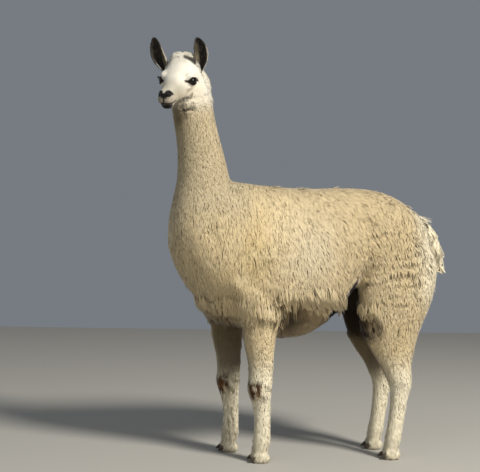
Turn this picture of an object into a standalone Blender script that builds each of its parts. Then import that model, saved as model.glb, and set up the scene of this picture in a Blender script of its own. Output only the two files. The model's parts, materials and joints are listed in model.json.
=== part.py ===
"""An adult llama standing square, life size, as a still museum model.

The animal faces -Y, its left side is +X and +Z is up. The origin is on the floor, under the middle
of the model's bounding box. Sizes are metres and follow the outside of the coat.

The flesh is modelled as overlapping lofts and muscles, fused and smoothed into one form, and then
parted into head, neck, trunk, tail, legs and feet. Ears, eyes and toenails are pieces of their own.
"""

import math

import bmesh
import bpy
from mathutils import Matrix, Vector

# --- driving dimensions ------------------------------------------------------------------------
GAP = 0.0003  # clearance left between touching pieces
TRUNK_SQUARENESS = 2.2  # 2 makes an ellipse, and more fills out its corners
HEAD_SQUARENESS = 2.15
TRUNK_RING = 36  # points round each form
LIMB_RING = 28
TAIL_RING = 12
PARTING_RING = 10

# Trunk, from the breast back to the rump: place along Y, top, belly, half width, height of the
# widest point.
TRUNK = [
    (-0.592, 1.075, 0.900, 0.070, 1.000),
    (-0.560, 1.130, 0.825, 0.125, 0.975),
    (-0.500, 1.175, 0.735, 0.172, 0.945),
    (-0.420, 1.195, 0.655, 0.202, 0.915),
    (-0.320, 1.207, 0.590, 0.226, 0.890),
    (-0.200, 1.198, 0.545, 0.243, 0.870),
    (-0.080, 1.192, 0.526, 0.254, 0.860),
    (0.040, 1.194, 0.546, 0.258, 0.868),
    (0.130, 1.202, 0.596, 0.255, 0.886),
    (0.190, 1.206, 0.656, 0.251, 0.908),
    (0.230, 1.207, 0.765, 0.246, 0.930),
    (0.290, 1.206, 0.770, 0.242, 0.940),
    (0.360, 1.197, 0.780, 0.234, 0.950),
    (0.440, 1.170, 0.790, 0.216, 0.960),
    (0.515, 1.124, 0.820, 0.182, 0.960),
    (0.568, 1.068, 0.860, 0.135, 0.960),
    (0.596, 1.015, 0.900, 0.075, 0.960),
]

# Neck, from the breast up to the poll: height, centre along Y, centre along X, half depth,
# half width.
NECK = [
    (0.880, -0.420, 0.000, 0.130, 0.150),
    (0.980, -0.442, 0.000, 0.152, 0.145),
    (1.060, -0.450, 0.000, 0.146, 0.132),
    (1.130, -0.452, 0.000, 0.132, 0.118),
    (1.200, -0.452, 0.000, 0.119, 0.105),
    (1.290, -0.463, 0.000, 0.107, 0.092),
    (1.380, -0.482, 0.000, 0.097, 0.084),
    (1.460, -0.501, -0.002, 0.093, 0.080),
    (1.540, -0.516, -0.006, 0.092, 0.078),
    (1.610, -0.526, -0.010, 0.086, 0.076),
    (1.670, -0.532, -0.012, 0.064, 0.062),
]

# Legs, from the top down: height, centre along Y, half depth, distance from the midline,
# half width.
FORE_LEG = [
    (0.860, -0.330, 0.090, 0.125, 0.070),
    (0.760, -0.290, 0.112, 0.138, 0.086),
    (0.680, -0.240, 0.100, 0.138, 0.082),
    (0.620, -0.214, 0.079, 0.134, 0.070),
    (0.560, -0.212, 0.076, 0.130, 0.064),
    (0.490, -0.208, 0.067, 0.126, 0.057),
    (0.420, -0.199, 0.056, 0.122, 0.050),
    (0.360, -0.198, 0.054, 0.120, 0.047),
    (0.315, -0.200, 0.057, 0.119, 0.049),
    (0.270, -0.194, 0.046, 0.118, 0.042),
    (0.230, -0.186, 0.039, 0.117, 0.035),
    (0.160, -0.181, 0.037, 0.116, 0.033),
    (0.105, -0.181, 0.039, 0.116, 0.037),
    (0.065, -0.185, 0.037, 0.116, 0.038),
    (0.034, -0.189, 0.028, 0.116, 0.032),
]
HIND_LEG = [
    (1.040, 0.390, 0.110, 0.105, 0.075),
    (0.950, 0.402, 0.165, 0.130, 0.098),
    (0.860, 0.412, 0.190, 0.142, 0.104),
    (0.770, 0.412, 0.183, 0.143, 0.101),
    (0.690, 0.406, 0.169, 0.138, 0.094),
    (0.630, 0.396, 0.157, 0.132, 0.086),
    (0.575, 0.395, 0.139, 0.126, 0.075),
    (0.520, 0.402, 0.119, 0.121, 0.065),
    (0.465, 0.416, 0.095, 0.117, 0.055),
    (0.415, 0.432, 0.075, 0.115, 0.047),
    (0.365, 0.450, 0.064, 0.114, 0.044),
    (0.325, 0.459, 0.054, 0.114, 0.041),
    (0.280, 0.455, 0.042, 0.113, 0.035),
    (0.200, 0.447, 0.039, 0.112, 0.031),
    (0.120, 0.436, 0.038, 0.112, 0.034),
    (0.070, 0.428, 0.036, 0.112, 0.036),
    (0.036, 0.420, 0.028, 0.112, 0.032),
]
RIGHT_FORE_STEP = -0.080  # the right foreleg stands this far ahead of the left
RIGHT_HIND_STEP = 0.012

# Tail, from its root down: place along Y, height, radius.
TAIL = [
    (0.535, 1.078, 0.036),
    (0.576, 1.052, 0.038),
    (0.612, 1.012, 0.043),
    (0.640, 0.962, 0.043),
    (0.664, 0.912, 0.036),
    (0.688, 0.868, 0.022),
    (0.698, 0.846, 0.009),
]

# Head, in its own frame: X to the muzzle, Y to the left, Z up, zero between the eyes.
HEAD_AT = Vector((0.050, -0.592, 1.618))
HEAD_TURN = math.radians(57)  # to the animal's left of straight ahead
HEAD_DROP = math.radians(27)  # muzzle below the horizontal
HEAD_TILT = math.radians(3)  # left side lower
# From the poll to the nose: place, top, bottom, half width, height of the widest point.
HEAD = [
    (-0.128, 0.030, -0.070, 0.055, -0.015),
    (-0.105, 0.062, -0.095, 0.074, -0.012),
    (-0.070, 0.078, -0.104, 0.083, -0.005),
    (-0.035, 0.074, -0.100, 0.080, 0.002),
    (0.000, 0.060, -0.088, 0.068, 0.004),
    (0.030, 0.046, -0.077, 0.057, 0.000),
    (0.060, 0.035, -0.070, 0.048, -0.010),
    (0.090, 0.026, -0.067, 0.042, -0.018),
    (0.120, 0.019, -0.067, 0.038, -0.022),
    (0.145, 0.013, -0.065, 0.036, -0.024),
    (0.164, 0.004, -0.057, 0.031, -0.026),
    (0.178, -0.009, -0.047, 0.021, -0.028),
]
# Forms laid over the head's loft: place, half sizes. Those off the middle are on both sides.
HEAD_FORMS = [
    ((-0.084, 0.000, 0.046), (0.050, 0.067, 0.060)),  # woolly crown behind the forehead
    ((-0.006, 0.058, 0.029), (0.036, 0.022, 0.018)),  # brow over the eye
    ((0.006, 0.054, -0.016), (0.032, 0.018, 0.015)),  # cheekbone under the eye
    ((-0.045, 0.048, -0.056), (0.055, 0.034, 0.047)),  # jaw muscle and cheek wool
    ((0.158, 0.017, -0.001), (0.021, 0.015, 0.013)),  # wing of the nostril
    ((0.160, 0.014, -0.030), (0.023, 0.019, 0.020)),  # half of the split upper lip
    ((0.138, 0.008, -0.061), (0.028, 0.019, 0.018)),  # lower lip and chin
]
EYE_AT = Vector((0.002, 0.0620, 0.005))
EYE_RADIUS = 0.0205
EYE_SEGMENTS = 14
EYE_RINGS = 8

# Ears: root in the head's frame, lean to the front and outwards from upright, length, half width.
EAR_ROOT = Vector((-0.078, 0.079, 0.036))
EAR_LENGTH = 0.143
EAR_HALF_WIDTH = 0.030
EAR_WALL = 0.0055
EAR_LEAN = {"left": (16, -2), "right": (16, 22)}
EAR_FACING = {"left": 10, "right": 5}  # turn of the opening, outwards from straight ahead
# Along the ear: share of the length, share of the half width, half opening in degrees.
EAR_SHAPE = [
    (0.00, 0.62, 120),
    (0.14, 0.80, 112),
    (0.30, 0.95, 96),
    (0.48, 1.00, 82),
    (0.64, 0.94, 72),
    (0.80, 0.76, 64),
    (0.93, 0.48, 56),
    (1.00, 0.20, 50),
]
EAR_BOW = 0.010  # how far the middle of the ear stands outside its chord
EAR_COLUMNS = 8  # points across its wall, on each face
EAR_THINNING = 0.5  # share of the wall's thickness that is lost by the tip
SHARP_ANGLE = math.radians(50)

TOE_SPREAD = 0.0215  # each toe's centre from the middle of the foot
TOE_HALF = Vector((0.0205, 0.046, 0.027))
TOE_HEIGHT = 0.74  # its centre's height, as a share of its half height, which flattens the sole
TOE_BACK = 0.001  # its centre is this far behind the pastern
NAIL_LENGTH = 0.026
NAIL_RADIUS = 0.0115
NAIL_TIP_IN = 0.006  # the toe's end stands this far past the nail's reference point
NAIL_TIP_HEIGHT = 0.0095
NAIL_ROOT = Vector((0, 0.012, 0.012))  # the nail's root from that point, back and up
NAIL_SHAPE = ((0.0, 1.0), (0.45, 0.9), (0.8, 0.55), (1.0, 0.16))  # shares of length and radius
NAIL_RING = 10

FUSE_VOXEL = 0.006
FINE_ROUNDS = 3  # smoothing of everything, and then of all but the head and feet
BROAD_ROUNDS = 14
TRIANGLES = {"body": 1800, "head": 1000, "feet": 540}
FEET_BELOW = 0.10  # heights that share out the triangles between feet, body and head
HEAD_ABOVE = 1.4
HEAD_FROM = -0.12  # along the head's own X

# Where the body is parted. Each block's lowest and highest corners are in its own frame.
PARTING_MARGIN = 0.016  # how far a leg's parting surface stands outside the leg
PARTING_CAP = 0.8  # that surface's ends close in to this share, over three margins of height
FOOT_TOP = 0.088
FOOT_BLOCK = (Vector((-0.08, -0.15, -0.1)), Vector((0.08, 0.1, FOOT_TOP)))
FLOOR_BLOCK = (Vector((-1, -1, -0.2)), Vector((1, 1, 0)))
HEAD_PARTING_AT = Vector((-0.010, -0.530, 1.552))
HEAD_PARTING = math.radians(34)  # the plane under the head is lower at the throat by this
HEAD_BLOCK = (Vector((-0.3, -0.4, 0)), Vector((0.3, 0.3, 0.4)))
NECK_PARTING_AT = Vector((0, -0.46, 1.125))
NECK_PARTING = math.radians(28)  # the plane at the neck's root is lower at the breast by this
NECK_BLOCK = (Vector((-0.3, -0.5, 0)), Vector((0.3, 0.5, 0.9)))

FLEECE = ("fleece", (0.72, 0.62, 0.43), 0.95)
FACE_FUR = ("face_fur", (0.86, 0.82, 0.72), 0.9)
EAR_FUR = ("ear_fur", (0.10, 0.085, 0.075), 0.8)
EYE_DARK = ("eye_dark", (0.012, 0.009, 0.008), 0.08)
NAIL_HORN = ("nail_horn", (0.055, 0.045, 0.038), 0.45)


# --- helpers -----------------------------------------------------------------------------------
def clear_scene():
    for obj in list(bpy.data.objects):
        bpy.data.objects.remove(obj)


def material(named):
    name, colour, roughness = named
    found = bpy.data.materials.get(name)
    if found:
        return found
    made = bpy.data.materials.new(name)
    made.use_nodes = True
    shader = made.node_tree.nodes["Principled BSDF"]
    shader.inputs["Base Color"].default_value = (*colour, 1.0)
    shader.inputs["Roughness"].default_value = roughness
    shader.inputs["Metallic"].default_value = 0.0
    return made


def object_from(name, mesh, collection):
    obj = bpy.data.objects.new(name, mesh)
    collection.objects.link(obj)
    return obj


def flow(stations, steps):
    """The stations with a smooth curve (Catmull-Rom) run through each of their numbers."""
    rows = []
    last = len(stations) - 1
    for i in range(last):
        before, here = stations[max(i - 1, 0)], stations[i]
        there, after = stations[i + 1], stations[min(i + 2, last)]
        for step in range(steps):
            t = step / steps
            rows.append(
                [
                    0.5
                    * (
                        2 * b
                        + (c - a) * t
                        + (2 * a - 5 * b + 4 * c - d) * t * t
                        + (3 * b - a - 3 * c + d) * t**3
                    )
                    for a, b, c, d in zip(before, here, there, after)
                ]
            )
    rows.append(list(stations[last]))
    return rows


def oval(centre, across, upward, half_width, rise, fall, count=LIMB_RING, power=2.0):
    """A closed ring: half_width to both sides, rise along upward and fall against it."""
    points = []
    for i in range(count):
        angle = 2 * math.pi * i / count
        c, s = math.cos(angle), math.sin(angle)
        c = math.copysign(abs(c) ** (2 / power), c)
        s = math.copysign(abs(s) ** (2 / power), s)
        reach = rise if s > 0 else fall
        points.append(centre + across * (half_width * c) + upward * (reach * s))
    return points


def loft(name, rings, collection):
    """A closed tube through rings that have the same number of points."""
    form = bmesh.new()
    loops = [[form.verts.new(point) for point in ring] for ring in rings]
    count = len(rings[0])
    for lower, upper in zip(loops, loops[1:]):
        for i in range(count):
            j = (i + 1) % count
            form.faces.new((lower[i], lower[j], upper[j], upper[i]))
    form.faces.new(loops[0][::-1])
    form.faces.new(loops[-1])
    bmesh.ops.triangulate(form, faces=form.faces)
    bmesh.ops.recalc_face_normals(form, faces=form.faces)
    mesh = bpy.data.meshes.new(name)
    form.to_mesh(mesh)
    form.free()
    return object_from(name, mesh, collection)


def ball(name, matrix, radii, collection, segments=24, rings=14):
    """An ellipsoid of these half sizes, placed by matrix."""
    form = bmesh.new()
    bmesh.ops.create_uvsphere(form, u_segments=segments, v_segments=rings, radius=1.0)
    bmesh.ops.transform(form, matrix=matrix @ Matrix.Diagonal((*radii, 1.0)), verts=form.verts)
    mesh = bpy.data.meshes.new(name)
    form.to_mesh(mesh)
    form.free()
    return object_from(name, mesh, collection)


def block(name, matrix, corners, collection):
    """A block between its lowest and highest corners, placed by matrix."""
    low, high = corners
    form = bmesh.new()
    bmesh.ops.create_cube(form, size=1.0)
    size = Matrix.Diagonal((*(high - low), 1.0))
    place = matrix @ Matrix.Translation((low + high) / 2) @ size
    bmesh.ops.transform(form, matrix=place, verts=form.verts)
    mesh = bpy.data.meshes.new(name)
    form.to_mesh(mesh)
    form.free()
    return object_from(name, mesh, collection)


def settle(obj):
    """Replaces the object's mesh with what its modifiers make of it."""
    bpy.context.view_layer.update()
    graph = bpy.context.evaluated_depsgraph_get()
    made = bpy.data.meshes.new_from_object(obj.evaluated_get(graph))
    obj.modifiers.clear()
    obj.data = made


def combine(obj, cutter, operation):
    """A Boolean with another object, applied at once."""
    modifier = obj.modifiers.new(operation.lower(), "BOOLEAN")
    modifier.operation = operation
    modifier.object = cutter
    modifier.solver = "EXACT"
    settle(obj)


def copied(obj, name, collection):
    return object_from(name, obj.data.copy(), collection)


def grown(obj, distance, collection):
    """A copy whose surface stands this far outside, as a cutter that leaves a gap."""
    copy = copied(obj, obj.name + "_grown", collection)
    push = copy.modifiers.new("grow", "DISPLACE")
    push.strength = distance
    push.mid_level = 0.0
    settle(copy)
    return copy


# --- the forms under the coat's surface ------------------------------------------------------------
ACROSS, ALONG, UP = Vector((1, 0, 0)), Vector((0, 1, 0)), Vector((0, 0, 1))


def head_matrix():
    """From the head's own frame to the animal's."""
    ahead = Vector((math.sin(HEAD_TURN), -math.cos(HEAD_TURN), 0))
    muzzle = ahead * math.cos(HEAD_DROP) - UP * math.sin(HEAD_DROP)
    left = UP.cross(ahead)
    crown = muzzle.cross(left)
    turned = Matrix((muzzle, left, crown)).transposed().to_4x4()
    return Matrix.Translation(HEAD_AT) @ turned @ Matrix.Rotation(-HEAD_TILT, 4, "X")


def trunk_form(collection):
    """The barrel, from the breast to the rump."""
    rings = []
    for y, top, belly, half, wide in flow(TRUNK, 3):
        centre = Vector((0, y, wide))
        rise, fall = top - wide, wide - belly
        rings.append(oval(centre, ACROSS, UP, half, rise, fall, TRUNK_RING, TRUNK_SQUARENESS))
    return loft("trunk_form", rings, collection)


def neck_form(collection):
    """The neck, whose root lies inside the trunk."""
    rings = []
    for z, y, x, half_depth, half_width in flow(NECK, 3):
        rings.append(oval(Vector((x, y, z)), ACROSS, ALONG, half_width, half_depth, half_depth))
    return loft("neck_form", rings, collection)


def leg_form(name, stations, side, step, collection, margin=0.0):
    """A leg as level rings. With a margin it is a coarser form that stands outside the leg."""
    rings = []
    count = PARTING_RING if margin else LIMB_RING
    for z, y, half_depth, off, half_width in flow(stations, 1 if margin else 2):
        centre = Vector((side * off, y + step, z))
        half_width, half_depth = half_width + margin, half_depth + margin
        rings.append(oval(centre, ACROSS, ALONG, half_width, half_depth, half_depth, count))
    if margin:
        for end, way in ((0, 1), (-1, -1)):
            centre = sum(rings[end], Vector()) / len(rings[end])
            lifted = [centre + (p - centre) * PARTING_CAP + UP * (margin * 3 * way) for p in rings[end]]
            rings.insert(0 if end == 0 else len(rings), lifted)
    return loft(name, rings, collection)


def foot_places(stations, side, step):
    """Where a foot's two toes are centred."""
    _, y, _, off, _ = stations[-1]
    for toe in (-1, 1):
        yield Vector((side * off + toe * TOE_SPREAD, y + step + TOE_BACK, TOE_HALF.z * TOE_HEIGHT))


def tail_form(collection, margin=0.0):
    """The hanging tail. With a margin it is a coarser form that stands outside the tail."""
    rings = []
    rows = flow(TAIL, 1 if margin else 3)
    for i, (y, z, radius) in enumerate(rows):
        y0, z0, _ = rows[max(i - 1, 0)]
        y1, z1, _ = rows[min(i + 1, len(rows) - 1)]
        downward = Vector((0, y1 - y0, z1 - z0)).normalized()
        aside = downward.cross(ACROSS)
        size = radius + margin
        rings.append(oval(Vector((0, y, z)), ACROSS, aside, size, size, size, TAIL_RING))
    return loft("tail_form", rings, collection)


def head_forms(place, collection):
    """The skull's loft and the forms laid over it."""
    rings = []
    turned = place.to_3x3()
    for x, top, bottom, half, wide in flow(HEAD, 3):
        centre = place @ Vector((x, 0, wide))
        across, upward = turned @ Vector((0, 1, 0)), turned @ Vector((0, 0, 1))
        rise, fall = top - wide, wide - bottom
        rings.append(oval(centre, across, upward, half, rise, fall, LIMB_RING, HEAD_SQUARENESS))
    made = [loft("head_form", rings, collection)]
    for at, radii in HEAD_FORMS:
        for side in (-1, 1) if at[1] else (1,):
            spot = place @ Matrix.Translation((at[0], side * at[1], at[2]))
            made.append(ball("head_muscle", spot, radii, collection))
    return made


def legs():
    """Each leg's name, stations, side and step."""
    yield "fore_left", FORE_LEG, 1, 0.0
    yield "fore_right", FORE_LEG, -1, RIGHT_FORE_STEP
    yield "hind_left", HIND_LEG, 1, 0.0
    yield "hind_right", HIND_LEG, -1, RIGHT_HIND_STEP


def fused_flesh(place, helpers):
    """All forms fused by a voxel remesh, smoothed, thinned and set flat on the floor."""
    forms = [trunk_form(helpers), neck_form(helpers), tail_form(helpers), *head_forms(place, helpers)]
    for name, stations, side, step in legs():
        forms.append(leg_form(name + "_form", stations, side, step, helpers))
        for spot in foot_places(stations, side, step):
            forms.append(ball("toe_form", Matrix.Translation(spot), TOE_HALF, helpers))
    flesh = bmesh.new()
    for form in forms:
        flesh.from_mesh(form.data)
        bpy.data.objects.remove(form)
    mesh = bpy.data.meshes.new("flesh")
    flesh.to_mesh(mesh)
    flesh.free()
    obj = object_from("flesh", mesh, helpers)
    fuse = obj.modifiers.new("fuse", "REMESH")
    fuse.mode = "VOXEL"
    fuse.voxel_size = FUSE_VOXEL
    settle(obj)
    mark_body(obj, place)
    soften(obj, FINE_ROUNDS, None)
    soften(obj, BROAD_ROUNDS, "body")
    settle(obj)
    for group, target in TRIANGLES.items():
        thinned(obj, group, target)
    floor = block("floor_cutter", Matrix(), FLOOR_BLOCK, helpers)
    combine(obj, floor, "DIFFERENCE")
    bpy.data.objects.remove(floor)
    return obj


def mark_body(obj, place):
    """Groups the points into those of the head, of the feet, and all the others."""
    groups = {name: obj.vertex_groups.new(name=name) for name in TRIANGLES}
    inverse = place.inverted()
    for vertex in obj.data.vertices:
        name = "body"
        if vertex.co.z < FEET_BELOW:
            name = "feet"
        elif vertex.co.z > HEAD_ABOVE and (inverse @ vertex.co).x > HEAD_FROM:
            name = "head"
        groups[name].add([vertex.index], 1.0, "REPLACE")


def soften(obj, rounds, group):
    smooth = obj.modifiers.new("soften", "SMOOTH")
    smooth.factor = 0.5
    smooth.iterations = rounds
    if group:
        smooth.vertex_group = group


def thinned(obj, group_name, target):
    """Collapses edges inside the group until about this many of its triangles are left."""
    index = obj.vertex_groups[group_name].index
    inside = {v.index for v in obj.data.vertices if any(g.group == index for g in v.groups)}
    total, here = 0, 0
    for face in obj.data.polygons:
        count = len(face.vertices) - 2
        total += count
        if all(i in inside for i in face.vertices):
            here += count
    thin = obj.modifiers.new("thin", "DECIMATE")
    thin.ratio = (total - here + target) / total
    thin.vertex_group = group_name
    thin.vertex_group_factor = 1.0
    settle(obj)


# --- the pieces ------------------------------------------------------------------------------------
def part_off(flesh, name, region, model, helpers):
    """Cuts what lies in the region off the flesh, as a piece with a gap round it."""
    piece = copied(flesh, name, model)
    combine(piece, region, "INTERSECT")
    wider = grown(region, GAP, helpers)
    combine(flesh, wider, "DIFFERENCE")
    bpy.data.objects.remove(wider)
    bpy.data.objects.remove(region)
    return piece


def ear_ring(share, width, opening, side, wall):
    """One crescent across an ear that stands up along Z, opens towards -Y and bows along X."""
    half = EAR_HALF_WIDTH * width
    opening = math.radians(opening)
    radius = half / math.sin(min(opening, math.pi / 2))
    bow = side * EAR_BOW * math.sin(math.pi * share)
    height = EAR_LENGTH * share
    angles = [opening * (2 * i / (EAR_COLUMNS - 1) - 1) for i in range(EAR_COLUMNS)]
    outer = [(radius * math.sin(a), radius * (math.cos(a) - 1)) for a in angles]
    inside = radius - min(wall, radius * 0.6)
    inner = [(inside * math.sin(a), inside * math.cos(a) - radius) for a in angles]
    ring = outer + inner[::-1]
    return [Vector((x + bow, y + radius * 0.5, height)) for x, y in ring]


def ear_matrix(place, side_name):
    """An ear's frame: Z along its length, -Y out of its opening, X to the animal's left."""
    side = 1 if side_name == "left" else -1
    ahead = Vector((math.sin(HEAD_TURN), -math.cos(HEAD_TURN), 0))
    left = UP.cross(ahead)
    lean, splay = (math.tan(math.radians(a)) for a in EAR_LEAN[side_name])
    axis = (UP + ahead * lean + left * (side * splay)).normalized()
    facing = math.radians(EAR_FACING[side_name]) * side
    opening = ahead * math.cos(facing) + left * math.sin(facing)
    opening = (opening - axis * opening.dot(axis)).normalized()
    lateral = axis.cross(opening)
    turned = Matrix((lateral, -opening, axis)).transposed().to_4x4()
    root = place @ Vector((EAR_ROOT.x, side * EAR_ROOT.y, EAR_ROOT.z))
    return Matrix.Translation(root) @ turned


def make_ear(side_name, place, head, model, helpers):
    """A hollow ear, lofted from its root to its tip and fitted to the head."""
    side = 1 if side_name == "left" else -1
    matrix = ear_matrix(place, side_name)
    rings = []
    for share, width, opening in EAR_SHAPE:
        wall = EAR_WALL * (1 - EAR_THINNING * share)
        ring = ear_ring(share, width, opening, side, wall)
        rings.append([matrix @ point for point in ring])
    ear = loft("ear_" + side_name, rings, model)
    skull = grown(head, GAP, helpers)
    combine(ear, skull, "DIFFERENCE")
    bpy.data.objects.remove(skull)
    return ear


def make_eye(side_name, place, head, model, helpers):
    """An eyeball, with its socket cut into the head."""
    side = 1 if side_name == "left" else -1
    spot = place @ Matrix.Translation((EYE_AT.x, side * EYE_AT.y, EYE_AT.z))
    eye = ball("eye_" + side_name, spot, (EYE_RADIUS,) * 3, model, EYE_SEGMENTS, EYE_RINGS)
    socket = ball("socket", spot, (EYE_RADIUS + GAP * 2,) * 3, helpers, EYE_SEGMENTS, EYE_RINGS)
    combine(head, socket, "DIFFERENCE")
    bpy.data.objects.remove(socket)
    return eye


def nail_rings(tip, extra):
    """A toenail: a cone that curves down over the end of the toe, from its root to its point."""
    rings = []
    for share, size in NAIL_SHAPE:
        centre = tip + NAIL_ROOT - ALONG * (NAIL_LENGTH * share) - UP * (NAIL_ROOT.z * share * share)
        size = NAIL_RADIUS * size + extra
        if extra:
            centre.y += extra * (1 - 2 * share)
        rings.append(oval(centre, ACROSS, UP, size, size, size, NAIL_RING))
    return rings


def make_nails(foot, name, stations, side, step, model, helpers):
    """A foot's two toenails, each with its bed cut into the foot."""
    made = []
    for number, spot in enumerate(foot_places(stations, side, step)):
        tip = Vector((spot.x, spot.y - TOE_HALF.y + NAIL_TIP_IN, NAIL_TIP_HEIGHT))
        way = "inner" if (number == 0) == (side > 0) else "outer"
        made.append(loft(f"nail_{name}_{way}", nail_rings(tip, 0.0), model))
        bed = loft("nail_bed", nail_rings(tip, GAP), helpers)
        combine(foot, bed, "DIFFERENCE")
        bpy.data.objects.remove(bed)
    return made


def finish(obj, named):
    obj.data.materials.clear()
    obj.data.materials.append(material(named))
    obj.data.shade_smooth()
    obj.data.set_sharp_from_angle(angle=SHARP_ANGLE)


def centre_on_floor(objects):
    """Moves the model so that the origin is under the middle of its bounding box."""
    points = [v.co for obj in objects for v in obj.data.vertices]
    low = Vector([min(p[k] for p in points) for k in range(3)])
    high = Vector([max(p[k] for p in points) for k in range(3)])
    shift = Vector((-(low.x + high.x) / 2, -(low.y + high.y) / 2, -low.z))
    for obj in objects:
        obj.data.transform(Matrix.Translation(shift))


def build():
    clear_scene()
    model = bpy.data.collections.new("llama")
    helpers = bpy.data.collections.new("cutters")
    bpy.context.scene.collection.children.link(model)
    bpy.context.scene.collection.children.link(helpers)
    helpers.hide_render = True
    place = head_matrix()
    flesh = fused_flesh(place, helpers)

    turn = Matrix.Rotation(HEAD_TURN, 4, "Z") @ Matrix.Rotation(HEAD_PARTING, 4, "X")
    base = Matrix.Translation(HEAD_PARTING_AT) @ turn
    region = block("head_region", base, HEAD_BLOCK, helpers)
    head = part_off(flesh, "head", region, model, helpers)

    fleece = []
    for name, stations, side, step in legs():
        _, y, _, off, _ = stations[-1]
        under = Matrix.Translation((side * off, y + step, 0))
        region = block("foot_region", under, FOOT_BLOCK, helpers)
        foot = part_off(flesh, "foot_" + name, region, model, helpers)
        region = leg_form("leg_region", stations, side, step, helpers, PARTING_MARGIN)
        fleece += [foot, part_off(flesh, "leg_" + name, region, model, helpers)]
        for nail in make_nails(foot, name, stations, side, step, model, helpers):
            finish(nail, NAIL_HORN)

    region = tail_form(helpers, PARTING_MARGIN)
    fleece.append(part_off(flesh, "tail", region, model, helpers))

    base = Matrix.Translation(NECK_PARTING_AT) @ Matrix.Rotation(NECK_PARTING, 4, "X")
    region = block("neck_region", base, NECK_BLOCK, helpers)
    fleece.append(part_off(flesh, "neck", region, model, helpers))

    trunk = copied(flesh, "trunk", model)
    bpy.data.objects.remove(flesh)
    fleece.append(trunk)

    for side_name in ("left", "right"):
        finish(make_eye(side_name, place, head, model, helpers), EYE_DARK)
        finish(make_ear(side_name, place, head, model, helpers), EAR_FUR)
    finish(head, FACE_FUR)
    for piece in fleece:
        finish(piece, FLEECE)
    centre_on_floor(list(model.objects))


build()
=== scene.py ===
"""An adult llama standing square, life size, in its long cream coat.

The animal faces -Y, its left side is +X and +Z is up. Sizes are metres.
"""

import json
import math
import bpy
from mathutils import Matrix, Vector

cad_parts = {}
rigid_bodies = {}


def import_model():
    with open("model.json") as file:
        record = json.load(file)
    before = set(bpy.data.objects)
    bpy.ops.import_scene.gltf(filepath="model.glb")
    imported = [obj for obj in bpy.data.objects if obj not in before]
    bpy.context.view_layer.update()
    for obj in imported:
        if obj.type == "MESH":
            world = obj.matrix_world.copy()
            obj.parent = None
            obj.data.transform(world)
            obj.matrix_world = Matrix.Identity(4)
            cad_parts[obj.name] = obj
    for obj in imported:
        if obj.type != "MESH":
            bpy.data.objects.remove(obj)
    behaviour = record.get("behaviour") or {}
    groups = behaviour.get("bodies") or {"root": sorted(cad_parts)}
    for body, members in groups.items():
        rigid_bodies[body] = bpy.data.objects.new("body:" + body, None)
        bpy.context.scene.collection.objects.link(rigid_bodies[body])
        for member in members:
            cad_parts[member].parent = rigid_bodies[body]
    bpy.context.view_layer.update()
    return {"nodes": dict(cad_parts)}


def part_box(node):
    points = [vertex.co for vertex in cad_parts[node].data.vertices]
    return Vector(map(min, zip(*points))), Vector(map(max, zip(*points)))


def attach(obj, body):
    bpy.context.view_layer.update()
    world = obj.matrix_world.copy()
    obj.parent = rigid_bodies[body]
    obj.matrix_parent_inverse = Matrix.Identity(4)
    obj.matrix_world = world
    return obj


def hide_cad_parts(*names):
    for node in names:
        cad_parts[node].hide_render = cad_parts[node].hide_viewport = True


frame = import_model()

from types import SimpleNamespace

import bpy
import numpy as np
from mathutils import Matrix, Vector
from mathutils.bvhtree import BVHTree
from mathutils.kdtree import KDTree

# --- the skin ----------------------------------------------------------------------------------------
# The hide of the whole animal, from the nose to the toes: one closed surface with no seam. It is
# drawn in from the outside of the coat by the depth of the wool that stands on it, a finger deep
# on the flank and a hair's breadth on the muzzle.
FLESH = ["head", "neck", "trunk", "tail"]
for leg in ("fore_left", "fore_right", "hind_left", "hind_right"):
    FLESH += ["leg_" + leg, "foot_" + leg]
COAT_DEPTH = {
    "head": 0.006, "eye": 0.002, "neck": 0.009, "trunk": 0.012, "tail": 0.020, "leg": 0.0085,
    "foot": 0.002,
}
LEG_TOP = {"fore": 0.60, "hind": 0.66}  # above this the leg's wool is as deep as the trunk's
SET_IN = 0.68  # the share of that depth by which the skin lies under the fleece's outside
SKIN_VOXEL = 0.005
SAME_POINT = 0.00002  # corners nearer than this are one
GAP_FILL = 0.0006  # each part is swelled by this, which closes the gaps between them
COARSE_SHARE = 0.13  # how much of the net is left under the wool, where its shape is hidden
HEAD_ABOVE = 1.4  # the head lies above this height, and the body below it
CROWN_ABOVE = 1.6
FEET_BELOW = 0.10
HEAD_TURN = math.radians(57)  # the head looks this far to the animal's left
HEAD_DROP = math.radians(27)  # and the muzzle points this far below the horizontal
EYE_IN_HEAD = Vector((0.002, 0.062, 0.005))  # X to the muzzle, Y to the left, Z to the crown


def deselect():
    for obj in bpy.context.view_layer.objects:
        obj.select_set(False)


def only(obj):
    """Makes one object the only selected one and the active one."""
    deselect()
    obj.select_set(True)
    bpy.context.view_layer.objects.active = obj


def welded_copy(node):
    """A CAD node's copy with its loose triangles merged."""
    copy = bpy.data.objects.new(node + "_copy", frame["nodes"][node].data.copy())
    bpy.context.scene.collection.objects.link(copy)
    only(copy)
    bpy.ops.object.mode_set(mode="EDIT")
    bpy.ops.mesh.select_all(action="SELECT")
    bpy.ops.mesh.remove_doubles(threshold=SAME_POINT)
    bpy.ops.transform.shrink_fatten(value=-GAP_FILL)
    bpy.ops.object.mode_set(mode="OBJECT")
    return copy


def listed(items, name, width, kind=np.float32):
    """One property of all the points, edges, faces or corners of a mesh, this many numbers each."""
    found = np.empty(len(items) * width, kind)
    items.foreach_get(name, found)
    return found.reshape(-1, width)


def points_of(mesh):
    return listed(mesh.vertices, "co", 3).astype(float)


def normals_of(mesh):
    return listed(mesh.vertices, "normal", 3).astype(float)


def edges_of(mesh):
    return listed(mesh.edges, "vertices", 2, np.int32)


def set_points(mesh, points):
    mesh.vertices.foreach_set("co", points.astype(np.float32).ravel())
    mesh.update()


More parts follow.
